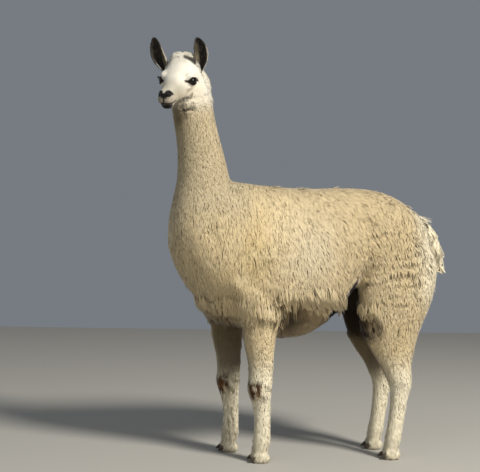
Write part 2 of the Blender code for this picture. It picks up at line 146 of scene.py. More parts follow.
def evened(values, edges, rounds):
    """Values on points, each moved to the mean of its neighbours for this many rounds."""
    values = values.astype(float).copy()
    flat = values.reshape(len(values), -1)
    count = np.bincount(edges.ravel(), minlength=len(values))[:, None].clip(1)
    for _ in range(rounds):
        total = np.zeros_like(flat)
        for k in range(flat.shape[1]):
            total[:, k] = np.bincount(edges[:, 0], flat[edges[:, 1], k], len(flat))
            total[:, k] += np.bincount(edges[:, 1], flat[edges[:, 0], k], len(flat))
        flat = 0.5 * flat + 0.5 * total / count
    return flat.reshape(values.shape)


def ramp(values, start, end):
    """0 before start, 1 past end, and smooth between them. end may be below start."""
    share = np.clip((values - start) / (end - start), 0, 1)
    return share * share * (3 - 2 * share)


def middle(node):
    """The centre of a CAD node's box."""
    low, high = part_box(node)
    return (low + high) / 2


ahead = Vector((math.sin(HEAD_TURN), -math.cos(HEAD_TURN), 0))
muzzle_way = ahead * math.cos(HEAD_DROP) - Vector((0, 0, 1)) * math.sin(HEAD_DROP)
eye_line = (middle("eye_left") - middle("eye_right")).normalized()
left_way = (eye_line - muzzle_way * eye_line.dot(muzzle_way)).normalized()
crown_way = muzzle_way.cross(left_way)
head_turned = Matrix((muzzle_way, left_way, crown_way)).transposed()
between_eyes = (middle("eye_left") + middle("eye_right")) / 2
head_at = between_eyes - head_turned @ Vector((EYE_IN_HEAD.x, 0, EYE_IN_HEAD.z))


def in_head(points):
    """Points in the head's own frame: X to the muzzle, Y to the left, Z to the crown."""
    return (points - np.array(head_at)) @ np.array(head_turned)


def out_of_head(points):
    return points @ np.array(head_turned).T + np.array(head_at)


copies = [welded_copy(node) for node in FLESH + ["eye_left", "eye_right"]]
land = KDTree(sum(len(copy.data.vertices) for copy in copies))
owners = []
for copy in copies:
    part, *which = copy.name.split("_")
    for vertex in copy.data.vertices:
        land.insert(vertex.co, len(owners))
        deep = part == "leg" and vertex.co.z > LEG_TOP[which[0]]
        owners.append("trunk" if deep else part)
land.balance()
owners = np.array(owners)


def parts_at(points):
    """The part of the animal that each point lies in."""
    return np.array([owners[land.find(point)[1]] for point in points])


def keep_field(mesh, name, values):
    """Stores a number for each point, which new points share when the net is split later."""
    mesh.attributes.new(name, "FLOAT", "POINT").data.foreach_set("value", values.astype(np.float32))


def field(mesh, name):
    return listed(mesh.attributes[name].data, "value", 1)[:, 0].astype(float)


def fused(obj, voxel):
    """Makes one closed surface of all that the object holds."""
    only(obj)
    fuse = obj.modifiers.new("fuse", "REMESH")
    fuse.mode = "VOXEL"
    fuse.voxel_size = voxel
    bpy.ops.object.modifier_apply(modifier=fuse.name)


deselect()
for copy in copies:
    copy.select_set(True)
skin = copies[0]
bpy.context.view_layer.objects.active = skin
bpy.ops.object.join()
skin.name = skin.data.name = "skin"
fused(skin, SKIN_VOXEL)


def split_where(obj, chosen, cuts=1):
    """Subdivides the faces that have every corner among the chosen points."""
    only(obj)
    mesh = obj.data
    mesh.polygons.foreach_set("select", [False] * len(mesh.polygons))
    bpy.ops.object.mode_set(mode="EDIT")
    bpy.ops.mesh.select_mode(type="FACE")
    bpy.ops.mesh.select_all(action="DESELECT")
    bpy.ops.object.mode_set(mode="OBJECT")
    starts = listed(mesh.polygons, "loop_start", 1, np.int32)[:, 0]
    corners = listed(mesh.loops, "vertex_index", 1, np.int32)[:, 0]
    whole = np.minimum.reduceat(chosen[corners].astype(np.int8), starts).astype(bool)
    mesh.polygons.foreach_set("select", whole)
    bpy.ops.object.mode_set(mode="EDIT")
    bpy.ops.mesh.subdivide(number_cuts=cuts, smoothness=0)
    bpy.ops.mesh.select_all(action="DESELECT")
    bpy.ops.object.mode_set(mode="OBJECT")


def thin_where(obj, chosen, share):
    """Collapses edges among the chosen points until this share of their triangles is left."""
    group = obj.vertex_groups.new(name="thin")
    group.add([int(i) for i in np.flatnonzero(chosen)], 1.0, "REPLACE")
    thin = obj.modifiers.new("thin", "DECIMATE")
    thin.ratio = 1 - (1 - share) * chosen.mean()
    thin.vertex_group = group.name
    thin.vertex_group_factor = 1.0
    only(obj)
    bpy.ops.object.modifier_apply(modifier=thin.name)
    obj.vertex_groups.clear()


def reshaped(obj, rounds, weights=None):
    """Evens out the points' places, fully or by a weight for each."""
    mesh = obj.data
    points = points_of(mesh)
    moved = evened(points, edges_of(mesh), rounds)
    share = 1 if weights is None else weights[:, None]
    set_points(mesh, points + (moved - points) * share)


# The flesh keeps its fine net on the head and feet, and a coarser one under the wool.
reshaped(skin, 2)
points = points_of(skin.data)
fine = (in_head(points)[:, 0] > -0.125) & (points[:, 2] > HEAD_ABOVE) | (points[:, 2] < FEET_BELOW)
thin_where(skin, ~fine, COARSE_SHARE)
points = points_of(skin.data)
local = in_head(points)
head_area = (local[:, 0] > -0.115) & (points[:, 2] > HEAD_ABOVE)
reshaped(skin, 6, 1.0 - 0.8 * head_area)
split_where(skin, head_area & (local[:, 0] > -0.045) & (local[:, 2] < 0.07))
points = points_of(skin.data)
reshaped(skin, 4, (in_head(points)[:, 0] > -0.13) * ramp(points[:, 2], HEAD_ABOVE - 0.02, HEAD_ABOVE + 0.02))

# The flank's fold is a deep notch between the belly's side and the front of the thigh. It opens
# sideways and a little forwards, and its outline is given across that way and upwards.
FOLD_OPENS = math.radians(75)
FLANK_FOLD = [(0.272, 0.845), (0.142, 0.640), (0.132, 0.550), (0.236, 0.550), (0.238, 0.640)]
FOLD_DEPTH = 0.100
# Below it the thigh's fleece ends in a curtain, and the stifle under it is set back, and painted dark with
# dirt and shade.
STIFLE = [
    (0.160, 0.648), (0.315, 0.648), (0.362, 0.600), (0.345, 0.555), (0.270, 0.520), (0.160, 0.520),
]
STIFLE_SET_BACK = 0.022
# Under the barrel the long fleece ends in a hanging edge, and the belly itself is set back from it.
BELLY_EDGE = 0.705
BELLY_ENDS = (-0.15, 0.17)
BELLY_SET_BACK = 0.028
# The wool makes the head and neck fuller at these places, and is creased under the jaw.
NAPE_FULLER = 0.012
POLL_FULLER = 0.012
BESIDE_EARS_FULLER = 0.010
THROAT_FULLER = 0.009
JAW_TUFT = 0.010
JAW_CREASE = 0.006
FAR = 9.0  # farther than any part of the animal
CURVE_REACH = 0.12  # half the side of the box round a curve's middle in which distances are measured


def inside_outline(y, z, outline):
    """How far inside a convex outline each point of the side view lies, negative outside."""
    found = np.full(len(y), FAR)
    corners = np.array(outline)
    centre = corners.mean(0)
    for start, end in zip(corners, np.roll(corners, -1, axis=0)):
        normal = np.array((end[1] - start[1], start[0] - end[0]))
        normal /= np.linalg.norm(normal) * np.sign((centre - start) @ normal)
        found = np.minimum(found, (y - start[0]) * normal[0] + (z - start[1]) * normal[1])
    return found


def across_fold(points):
    """How far round each point lies, looking straight into the flank's fold."""
    return np.abs(points[:, 0]) * math.cos(FOLD_OPENS) + points[:, 1] * math.sin(FOLD_OPENS)


def in_fold(points):
    return inside_outline(across_fold(points), points[:, 2], FLANK_FOLD)


def in_stifle(points):
    return inside_outline(across_fold(points), points[:, 2], STIFLE)


def swell(points, size, seed):
    """Smooth noise from -1 to 1 whose lumps are about this size."""
    draw = np.random.default_rng(seed)
    total = np.zeros(len(points))
    for _ in range(7):
        way = draw.normal(size=3)
        way *= 2 * math.pi / size * draw.uniform(0.6, 1.5) / np.linalg.norm(way)
        total += np.sin(points @ way + draw.uniform(0, 6.3))
    return np.clip(total / 3.2, -1, 1)


def near(points, centre, radii):
    """1 at the centre, falling softly to 0 outside the radii."""
    return np.exp(-(((points - np.array(centre)) / np.array(radii)) ** 2).sum(1))


def through(stations, steps=12):
    """Points of a smooth curve (Catmull-Rom) through the stations."""
    stations = np.array(stations, float)
    padded = np.vstack([stations[:1], stations, stations[-1:]])
    made = []
    for a, b, c, d in zip(padded, padded[1:], padded[2:], padded[3:]):
        for t in np.arange(steps) / steps:
            bend = (2 * a - 5 * b + 4 * c - d) * t * t + (3 * b - a - 3 * c + d) * t**3
            made.append(0.5 * (2 * b + (c - a) * t + bend))
    made.append(stations[-1])
    return np.array(made)


def away(points, curve):
    """Each point's distance to a curve given as close points, or FAR where it is well off it."""
    found = np.full(len(points), FAR)
    close = np.flatnonzero(np.abs(points - curve.mean(0)).max(1) < CURVE_REACH)
    gap = points[close][:, None, :] - curve[None, :, :]
    found[close] = np.sqrt((gap * gap).sum(2).min(1))
    return found


# Loose tufts of wool bulge under the jaw, with deep creases between them, in the head's frame.
JAW_TUFTS = [
    (0.036, 0.043, -0.086), (0.029, 0.072, -0.092), (0.052, 0.055, -0.121), (0.056, 0.010, -0.084),
]
JAW_CREASES = [
    [
        (0.062, 0.010, -0.066), (0.038, 0.017, -0.073), (0.031, 0.034, -0.070), (0.017, 0.057, -0.060),
        (0.005, 0.068, -0.052),
    ],
    [(0.044, 0.024, -0.099), (0.049, 0.036, -0.112), (0.046, 0.058, -0.108), (0.036, 0.076, -0.104)],
]
JAW_CREASE_WIDTH = 0.0070
# Painted shade lies in a fold in front of the left ear's root. The fold widens from the crown to the ear.
EAR_FOLD = [
    (-0.058, 0.017, 0.096), (-0.058, 0.030, 0.091), (-0.059, 0.043, 0.085), (-0.063, 0.060, 0.073),
]
EAR_FOLD_WIDTH = 0.0075


def folded(local):
    """The same places with both sides laid on the left."""
    return local * (1, 0, 1) + (0, 1, 0) * np.abs(local[:, 1:2])


def jaw_creases(points):
    """1 along the creases between the tufts under the jaw, falling to 0 beside them."""
    share = np.zeros(len(points))
    close = points[:, 2] > HEAD_ABOVE
    local = folded(in_head(points[close]))
    if len(local):
        gap = np.min([away(local, through(line)) for line in JAW_CREASES], axis=0)
        broken = np.clip(0.75 + 1.1 * swell(local, 0.024, 22), 0, 1)
        share[close] = np.exp(-((gap / JAW_CREASE_WIDTH) ** 4)) * broken
    return share


def ear_fold(points):
    """1 in the fold of painted shade in front of the left ear's root, falling to 0 beside it."""
    share = np.zeros(len(points))
    close = points[:, 2] > CROWN_ABOVE
    local = in_head(points[close])
    if len(local):
        width = EAR_FOLD_WIDTH + 0.10 * (local[:, 1] - 0.02).clip(0, 0.05)
        share[close] = ramp(away(local, through(EAR_FOLD)) / width, 1.25, 0.75)
    return share


def under_belly(points):
    """1 on the short-haired underside of the barrel, 0 elsewhere."""
    share = ramp(points[:, 2], BELLY_EDGE + 0.02, BELLY_EDGE - 0.015)
    share *= ramp(points[:, 1], BELLY_ENDS[0] - 0.02, BELLY_ENDS[0] + 0.02)
    return share * ramp(points[:, 1], BELLY_ENDS[1] + 0.03, BELLY_ENDS[1] - 0.01)


for reach in (0.03, 0.016):
    points = points_of(skin.data)
    split_where(skin, (in_fold(points) > -reach) & (np.abs(points[:, 0]) > 0.05))
    points = points_of(skin.data)
    reshaped(skin, 3, (in_fold(points) > -reach) * 1.0)

# Each point takes its coat's depth from the part it lies in, with no step from part to part.
FACE_DEPTH = 0.0022  # the hair on the bridge of the nose; the rest of the head's coat is deeper
CROWN_DEEPER = 0.0022
BEHIND_DEEPER = 0.007
JAW_DEEPER = 0.006
points = points_of(skin.data)
edges = edges_of(skin.data)
parts = parts_at(points)
depth = evened(np.array([COAT_DEPTH[part] for part in parts]), edges, 60)
on_head = evened(np.isin(parts, ("head", "eye")) * 1.0, edges, 40)
collar = 4 * on_head * (1 - on_head)
reshaped(skin, 40, collar)
points = points_of(skin.data)
local = in_head(points)
crown = ramp(local[:, 2], 0.050, 0.080) * ramp(local[:, 0], -0.010, -0.055)
behind = ramp(local[:, 0], -0.035, -0.080)
jaw = ramp(local[:, 2], -0.048, -0.080) * ramp(local[:, 0], 0.085, 0.05)
face_depth = FACE_DEPTH + CROWN_DEEPER * crown + BEHIND_DEEPER * behind + JAW_DEEPER * jaw
depth = depth * (1 - on_head) + face_depth * on_head
outwards = evened(normals_of(skin.data), edges, 6)
outwards = outwards * (1 - on_head[:, None]) + normals_of(skin.data) * on_head[:, None]
outwards /= np.linalg.norm(outwards, axis=1)[:, None].clip(1e-6)
set_in = depth * (SET_IN + (1 - SET_IN) * on_head)
moved = points - outwards * set_in[:, None]
moved[:, 2] = points[:, 2] + (moved[:, 2] - points[:, 2]) * ramp(points[:, 2], 0.0, 0.02)

# The fold, the stifle and the belly are set back, sideways and along the way the fold opens.
fold = ramp(in_fold(points), -0.006, 0.016) * ramp(np.abs(points[:, 0]), 0.04, 0.10)
belly = under_belly(points) * (parts == "trunk") * ramp(np.abs(points[:, 0]), 0.03, 0.12)
stifle = ramp(in_stifle(points), -0.004, 0.012) * ramp(np.abs(points[:, 0]), 0.06, 0.14)
sunk = np.maximum(FOLD_DEPTH * fold, STIFLE_SET_BACK * stifle)
moved[:, 0] -= np.sign(points[:, 0]) * (sunk * math.sin(FOLD_OPENS) + BELLY_SET_BACK * belly)
moved[:, 1] += sunk * math.cos(FOLD_OPENS)

# The nape, the poll, the throat and the tufts under the jaw are filled out.
nape = ramp(local[:, 0], -0.030, -0.070) * ramp(points[:, 2], 1.56, 1.64)
nape *= ramp(points[:, 2], 1.725, 1.68)
poll = ramp(local[:, 2], 0.055, 0.085) * ramp(local[:, 0], 0.0, -0.04)
poll *= 0.55 + 0.30 * ramp(np.abs(local[:, 1]), 0.008, 0.040)
beside_ears = near(folded(local), (-0.062, 0.046, 0.080), (0.026, 0.017, 0.026))
tufts = sum(near(folded(local), tuft, (0.016, 0.014, 0.014)) for tuft in JAW_TUFTS)
throat = near(local, (0.062, 0.0, -0.100), (0.026, 0.040, 0.030))
fuller = NAPE_FULLER * nape + THROAT_FULLER * throat + JAW_TUFT * tufts
fuller -= JAW_CREASE * jaw_creases(points)
moved += outwards * fuller[:, None]
taller = POLL_FULLER * poll + BESIDE_EARS_FULLER * beside_ears
moved += np.array(head_turned @ Vector((0, 0, 1))) * taller[:, None]
set_points(skin.data, moved)
crown = ramp(local[:, 2], 0.060, 0.085) * ramp(local[:, 0], -0.020, -0.045)
reshaped(skin, 10, crown * (points[:, 2] > CROWN_ABOVE))

# The coat is short in the fold, on the stifle and under the belly.
SHORT_COAT = 0.009
short = np.maximum(np.maximum(fold, 0.8 * stifle), under_belly(points) * (parts == "trunk"))
keep_field(skin.data, "coat_depth", depth + (np.minimum(depth, SHORT_COAT) - depth) * short)
keep_field(skin.data, "on_head", on_head)

# --- the lids ----------------------------------------------------------------------------------------
# Thick dark-rimmed lids that slide over the front of the eyeball. The slit runs from the tear
# corner, low and towards the nose, up to the outer corner behind.
EYEBALL = 0.0205
LID_THICK = 0.0024
LID_ROLL = 0.0012  # how much thicker the lid grows away from its edge
LID_CREASE = 0.0011  # the width and depth of the folds that the lids make when they open
GAZE = Vector((0.52, 0.85, 0.06)).normalized()
# The slit's corners and its widest opening, as angles at the eyeball's centre.
SLIT_TO_NOSE = math.radians(68)
SLIT_TO_BACK = math.radians(58)
SLIT_UP = math.radians(41)
SLIT_DOWN = math.radians(31)
SLIT_TILT = math.radians(14)


def eye_frame(side):
    """Gaze, the way to the nose and the way up, in the head's frame."""
    gaze = np.array(GAZE) * (1, side, 1)
    up = np.array((0, 0, 1.0)) - gaze * gaze[2]
    up /= np.linalg.norm(up)
    nose = np.cross(up, gaze) * side
    c, s = math.cos(SLIT_TILT), math.sin(SLIT_TILT)
    return gaze, nose * c - up * s, up * c + nose * s


def slit(angle):
    """How far up and down the eye is open at this angle towards the nose."""
    along = np.where(angle > 0, angle / SLIT_TO_NOSE, angle / SLIT_TO_BACK)
    open_here = np.clip(1 - along * along, 0, 1)
    return SLIT_UP * open_here**0.62, SLIT_DOWN * open_here**0.8


def lid_margin(side, radius, count=90):
    """The edge of the lids as a closed curve on a ball round the eye's centre."""
    gaze, nose, up = eye_frame(side)
    made = []
    for way in (1, -1):
        for k in range(count):
            turn = math.pi * k / count
            angle = math.cos(turn) * (SLIT_TO_NOSE if math.cos(turn) > 0 else SLIT_TO_BACK) * way
            high, low = slit(np.array(angle))
            rise = high if way > 0 else -low
            tangent = gaze + nose * math.tan(angle) + up * math.tan(rise) / math.cos(angle) ** 0.5
            made.append(tangent / np.linalg.norm(tangent))
    centre = np.array(EYE_IN_HEAD) * (1, side, 1)
    return centre + np.array(made) * radius


def slit_depth(directions, side):
    """How far inside the open slit each direction points: positive inside, in radians."""
    gaze, nose, up = eye_frame(side)
    out = np.clip(directions @ gaze, 0.02, None)
    angle = np.arctan2(directions @ nose, out)
    rise = np.arctan(directions @ up / out * np.cos(angle) ** 0.5)
    high, low = slit(angle)
    inside = np.where(rise > 0, high - rise, low + rise)
    past = np.maximum(angle - SLIT_TO_NOSE, -SLIT_TO_BACK - angle)
    return np.where(directions @ gaze > 0.02, np.where(past > 0, -np.hypot(past, rise), inside), -1.0)


margins = {side: lid_margin(side, EYEBALL) for side in (1, -1)}

# --- the muzzle's lines --------------------------------------------------------------------------------
# The split upper lip, the long closed mouth and the two slanting nostrils, as grooves in the hide.
# The lids are shaped here too, once the hide's net is fine enough along all these edges.
MOUTH = [
    (0.178, 0.000, -0.044), (0.172, 0.014, -0.045), (0.160, 0.026, -0.048), (0.144, 0.034, -0.049),
    (0.128, 0.037, -0.047), (0.112, 0.039, -0.043),
]
NOSTRIL = [
    (0.176, 0.0080, -0.012), (0.175, 0.0110, -0.002), (0.170, 0.0165, 0.005), (0.1615, 0.0250, 0.004),
    (0.151, 0.0305, -0.004), (0.144, 0.0330, -0.009),
]
LIP_CLEFT = [(0.180, 0.000, -0.012), (0.181, 0.000, -0.027), (0.178, 0.000, -0.044)]


def mirrored(curve):
    """A curve of the head's left side laid on its right."""
    return curve * np.array([1, -1, 1])


def on_skin(line):
    """The line moved onto the skin's surface, in the head's frame."""
    places = [skin.closest_point_on_mesh(Vector(spot))[1] for spot in out_of_head(line)]
    return in_head(np.array(places))


mouth, nostril, cleft = (on_skin(through(line)) for line in (MOUTH, NOSTRIL, LIP_CLEFT))
fine_lines = [mouth, mirrored(mouth), nostril, mirrored(nostril), cleft, *margins.values()]
for reach in (0.012, 0.0045):
    local = in_head(points_of(skin.data))
    gap = np.min([away(local, line) for line in fine_lines], axis=0)
    split_where(skin, gap < reach)
    local = in_head(points_of(skin.data))
    gap = np.min([away(local, line) for line in fine_lines], axis=0)
    reshaped(skin, 2, (gap < reach * 1.2) * 1.0)

# Near each eye the skin is set by its distance from the eyeball's centre: over the ball it lies
# outside it as a lid, and inside the open slit it is sunk under the ball.
LID_BLEND = 0.004
UPPER_FOLD = 0.0075  # how far the lids' folds lie from the slit
LOWER_FOLD = 0.0065
SUNK_UNDER_BALL = 0.003
LID_REACH = 0.036
local = in_head(points_of(skin.data))
for side in (1, -1):
    centre = np.array(EYE_IN_HEAD) * (1, side, 1)
    gap = local - centre
    radius = np.linalg.norm(gap, axis=1)
    directions = gap / radius[:, None]
    gaze, nose, up = eye_frame(side)
    inside = slit_depth(directions, side) * EYEBALL
    lid = EYEBALL + LID_THICK + LID_ROLL * ramp(-inside, 0.0, 0.006)
    blend = np.clip((lid - radius) / LID_BLEND + 0.5, 0, 1)
    over = radius + (lid - radius) * blend + LID_BLEND * blend * (1 - blend) * 0.5
    crease = np.exp(-(((inside + UPPER_FOLD) / LID_CREASE) ** 2)) * (directions @ up > 0.0)
    crease += 0.6 * np.exp(-(((inside + LOWER_FOLD) / LID_CREASE) ** 2)) * (directions @ up < 0.0)
    over -= LID_CREASE * crease
    sunk = EYEBALL - SUNK_UNDER_BALL
    target = over + (sunk - over) * ramp(inside, -0.0004, 0.0007)
    close = (radius < LID_REACH) & (directions @ gaze > 0.0)
    local[close] = centre + directions[close] * target[close][:, None]
set_points(skin.data, out_of_head(local))


def cut_along(obj, line, half_width, depth):
    """Presses a groove into the skin along a line, or raises a ridge where depth is negative."""
    mesh = obj.data
    local = in_head(points_of(mesh))
    press = depth * np.exp(-((away(local, line) / half_width) ** 2))
    set_points(mesh, points_of(mesh) - normals_of(mesh) * press[:, None])


LINES = [  # the line, how far it is moved, and the groove's half width and depth
    (mouth, (0, 0, 0.007), 0.006, -0.0016),  # the full edge of the upper lip
    (mouth, (0, 0, -0.007), 0.005, -0.0010),  # and of the lower lip
    (mouth, (0, 0, 0), 0.0016, 0.0050),
    (nostril, (0, 0.001, 0.006), 0.005, -0.0016),  # the raised rim over the nostril
    (nostril[:42], (0, 0, 0), 0.0036, 0.0080),  # its open front
    (nostril[42:], (0, 0, 0), 0.0022, 0.0040),  # and the slit behind it
]
for left in (True, False):
    for line, shift, half_width, deep in LINES:
        cut_along(skin, line + shift if left else mirrored(line + shift), half_width, deep)
cut_along(skin, cleft, 0.0018, 0.0035)

only(skin)
bpy.ops.object.shade_smooth()
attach(skin, "root")
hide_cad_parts(*FLESH)

# --- markings --------------------------------------------------------------------------------------
# The fleece is cream, warmer on the shoulder and paler on the legs; the face is nearly white, with
# dark skin round the nostrils, lips and eyes. Knees are stained brown from kneeling, and the stifles
# are dark with dirt and painted shade. Shade is painted too along the back and neck, on the throat,
# muzzle and cheeks, inside the legs and in the folds.
CREAM = "DCC79E"
WARM_CREAM = "D6BE8C"
PALE_CREAM = "E6DABC"
FACE_WHITE = "F1EAD9"
LEG_WHITE = "F4E9CC"
TOPLINE_SHADE = "C5B089"
NECK_SHADE = "BFAF8E"
STAIN = "5C4023"
DUST = "A8946C"
UNDERSIDE = "B39E78"
UNDERSIDE_DARK = "6E5C42"
FOLD_SHADE = "2E2118"
KNEE_STAIN = "4E2F12"
KNEE_DUST = "8E6636"
KNEE_DARK = "2C1E10"
STIFLE_DIRT_AND_SHADE = "3C2C1C"
INNER_LEG_DUST_AND_SHADE = "4A3C29"
THROAT_SHADE = "75664A"
SHADED_MUZZLE = "BAB3A2"
NOSE_DARK = "120F0E"
LIP_GREY = "958A7B"
LID_DARK = "241E1B"
KNEE_HEIGHT = 0.320
KNEE_BACK = 0.219  # how far the knee lies behind the front of its leg's box
KNEE_CREASES = [  # dark wrinkles in the wool over the kneecap, as seen from the side
    [(0, -0.047, 0.344), (0, -0.025, 0.350), (0, 0.002, 0.356)],
    [(0, -0.006, 0.318), (0, 0.008, 0.302), (0, 0.030, 0.282)],
    [(0, -0.046, 0.304), (0, -0.036, 0.296), (0, -0.026, 0.290)],
    [(0, 0.026, 0.340), (0, 0.040, 0.333), (0, 0.058, 0.322)],
]
KNEE_CREASE_WIDTH = 0.0052


def linear(hexed):
    """An sRGB hex colour as three linear numbers."""
    parts = np.array([int(hexed[k : k + 2], 16) / 255 for k in (0, 2, 4)])
    return np.where(parts <= 0.04045, parts / 12.92, ((parts + 0.055) / 1.055) ** 2.4)


def mixed(colours, other, share):
    """The colours, each turned this share of the way to another."""
    return colours + (linear(other) - colours) * np.clip(share, 0, 1)[:, None]


TEAR_LINE = [(0.022, 0.068, 0.004), (0.030, 0.058, 0.011), (0.037, 0.050, 0.014)]
tear_lines = {side: through(np.array(TEAR_LINE) * (1, side, 1)) for side in (1, -1)}
forelegs = [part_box("leg_fore_left"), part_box("leg_fore_right")]
CRIMP_GAP = 0.042  # from one shelf of wool to the next


def haunch_crimps(points):
    """The wool's crimps across the haunch: shelves that slope out and drop back, in short dashes."""
    share = ramp(points[:, 1], 0.16, 0.26) * ramp(points[:, 2], 0.60, 0.66)
    share *= ramp(points[:, 2], 1.12, 1.02)
    share *= 0.35 + 0.65 * ramp(points[:, 1], 0.54, 0.44)
    phase = (-points[:, 2] + 0.25 * points[:, 1] + 0.016 * swell(points, 0.16, 33)) / CRIMP_GAP % 1
    shelf = np.minimum(phase, (1 - phase) * 5)
    dashes = np.clip(0.35 + 1.2 * swell(points * (1, 1, 1.8), 0.13, 34), 0, 1)
    return share * dashes * (shelf - 0.3)


def fleece_tones(points):
    """The clean fleece: cream, warm on the shoulder, pale on the barrel and down the legs, with painted
    shade that makes it darker and greyer along the back, behind the shoulder and up the neck."""
    mottle = swell(points, 0.16, 3)
    fine_mottle = swell(points, 0.05, 4)
    colours = np.repeat(linear(CREAM)[None, :], len(points), axis=0)
    low_down = ramp(points[:, 2], 0.52, 0.34)
    shoulder = near(points * (0, 1, 1), (0, -0.26, 0.95), (1, 0.20, 0.24))
    colours = mixed(colours, WARM_CREAM, 0.75 * shoulder + 0.25 * mottle * (1 - low_down))
    barrel = near(points * (0, 1, 1), (0, -0.05, 0.93), (1, 0.13, 0.15))
    back = ramp(points[:, 2], 1.05, 1.20) * ramp(points[:, 1], -0.42, -0.25)
    behind_shoulder = ramp(points[:, 1], -0.20, 0.0) * ramp(points[:, 2], 0.75, 0.95)
    colours = mixed(colours, PALE_CREAM, 0.10 * back + 0.20 * np.clip(fine_mottle, 0, 1))
    # Painted shade darkens the back and the upper barrel behind the shoulder.
    colours = mixed(colours, TOPLINE_SHADE, np.maximum(0.95 * back, 0.80 * behind_shoulder))
    colours = mixed(colours, PALE_CREAM, 0.55 * barrel)
    # Painted shade greys the upper neck.
    up_neck = 0.85 * ramp(points[:, 2], 0.98, 1.14) * ramp(points[:, 1], -0.24, -0.32)
    colours = mixed(colours, NECK_SHADE, up_neck)
    colours = mixed(colours, LEG_WHITE, low_down)
    rump = ramp(points[:, 1], 0.42, 0.54) * ramp(points[:, 2], 0.66, 0.78)
    return mixed(colours, LEG_WHITE, 0.75 * rump)


def stained_knees(colours, points):
    """Brown dust in the wool of the kneecaps, with dark wrinkles, and specks of it down the shins."""
    for low, high in forelegs:
        knee_x, knee_y = (low.x + high.x) / 2, low.y + KNEE_BACK
        beside = np.abs(points[:, 0] - knee_x)
        kneecap = ramp(np.abs(points[:, 2] - KNEE_HEIGHT), 0.044, 0.030) * ramp(beside, 0.12, 0.09)
        kneecap *= ramp(points[:, 1], knee_y + 0.014, knee_y - 0.006)
        kneecap *= np.abs(points[:, 1] - knee_y) < 0.12
        lumps = swell(points * (1, 1, 1.5), 0.028, 5)
        colours = mixed(colours, KNEE_DUST, kneecap * ramp(lumps, 0.75, 0.25))
        colours = mixed(colours, KNEE_STAIN, 1.2 * kneecap * ramp(lumps, 0.25, -0.20))
        side_view = points - (0, knee_y, 0)
        side_view[:, 0] = 0
        for crease in KNEE_CREASES:
            gap = away(side_view, through(crease, 6)) / KNEE_CREASE_WIDTH
            colours = mixed(colours, KNEE_DARK, 0.92 * (np.exp(-(gap**4)) * (beside < 0.1)))
        specks = ramp(swell(points, 0.013, 7), 0.25, 0.7) * ramp(points[:, 2], 0.36, 0.30)
        specks = 0.7 * (specks * (points[:, 1] < high.y))
        colours = mixed(colours, STAIN, specks * ramp(points[:, 1], low.y + 0.215, low.y + 0.185))
    return colours


def dirt_and_shade(colours, points):
    """The stifle, dark with dirt and painted shade; the inner sides of the hind legs, dark with dust and
    painted shade; painted shade on the throat and in the folds at the elbow, flank and groin; and the
    darker, streaked belly."""
    off_middle = np.abs(points[:, 0])
    patchy = np.clip(0.85 + 0.8 * swell(points, 0.035, 6), 0, 1)
    # The stifle is painted dark: dirt, and shade where it lies back under the thigh's curtain.
    stifle = ramp(in_stifle(points), -0.016, 0.010) * ramp(off_middle, 0.05, 0.09)
    colours = mixed(colours, STIFLE_DIRT_AND_SHADE, stifle * patchy)
    # The inner sides of the legs are painted dark: dust, and painted shade under the body.
    inner = ramp(off_middle, 0.155, 0.095) * ramp(points[:, 2], 0.30, 0.42) * ramp(points[:, 2], 0.72, 0.62)
    colours = mixed(colours, INNER_LEG_DUST_AND_SHADE, 0.8 * inner * ramp(np.abs(points[:, 1]), 0.16, 0.24))
    # Painted deep shade in the groin, between the belly and the inner thighs.
    groin = ramp(off_middle, 0.150, 0.115) * ramp(points[:, 1], 0.17, 0.20)
    groin *= ramp(points[:, 1], 0.42, 0.36)
    groin *= ramp(points[:, 2], 0.50, 0.58) * ramp(points[:, 2], 0.86, 0.82)
    colours = mixed(colours, FOLD_SHADE, 0.95 * groin)
    # Painted shade on the throat under the jaw.
    throat = near(in_head(points), (0.056, 0.004, -0.124), (0.042, 0.030, 0.042))
    colours = mixed(colours, THROAT_SHADE, 0.9 * throat)
    shins = ramp(points[:, 2], 0.26, 0.10) * (points[:, 2] < 0.4)
    colours = mixed(colours, DUST, 0.08 * shins * (0.5 + 0.5 * swell(points, 0.16, 3)))
    belly = under_belly(points) * (off_middle < 0.25)
    streaks = np.clip(0.35 + 0.9 * swell(points * (1, 0.45, 1.6), 0.035, 9), 0, 1)
    colours = mixed(colours, UNDERSIDE, 0.9 * belly)
    colours = mixed(colours, UNDERSIDE_DARK, 0.65 * belly * streaks)
    elbow = near(points * (0, 1, 1), (0, -0.088, 0.625), (1, 0.052, 0.070)) * (points[:, 1] > -0.150)
    colours = mixed(colours, FOLD_SHADE, 0.92 * elbow * ramp(off_middle, 0.24, 0.20))
    fold = ramp(in_fold(points), -0.007, 0.0) * ramp(off_middle, 0.250, 0.222)
    return mixed(colours, FOLD_SHADE, fold)


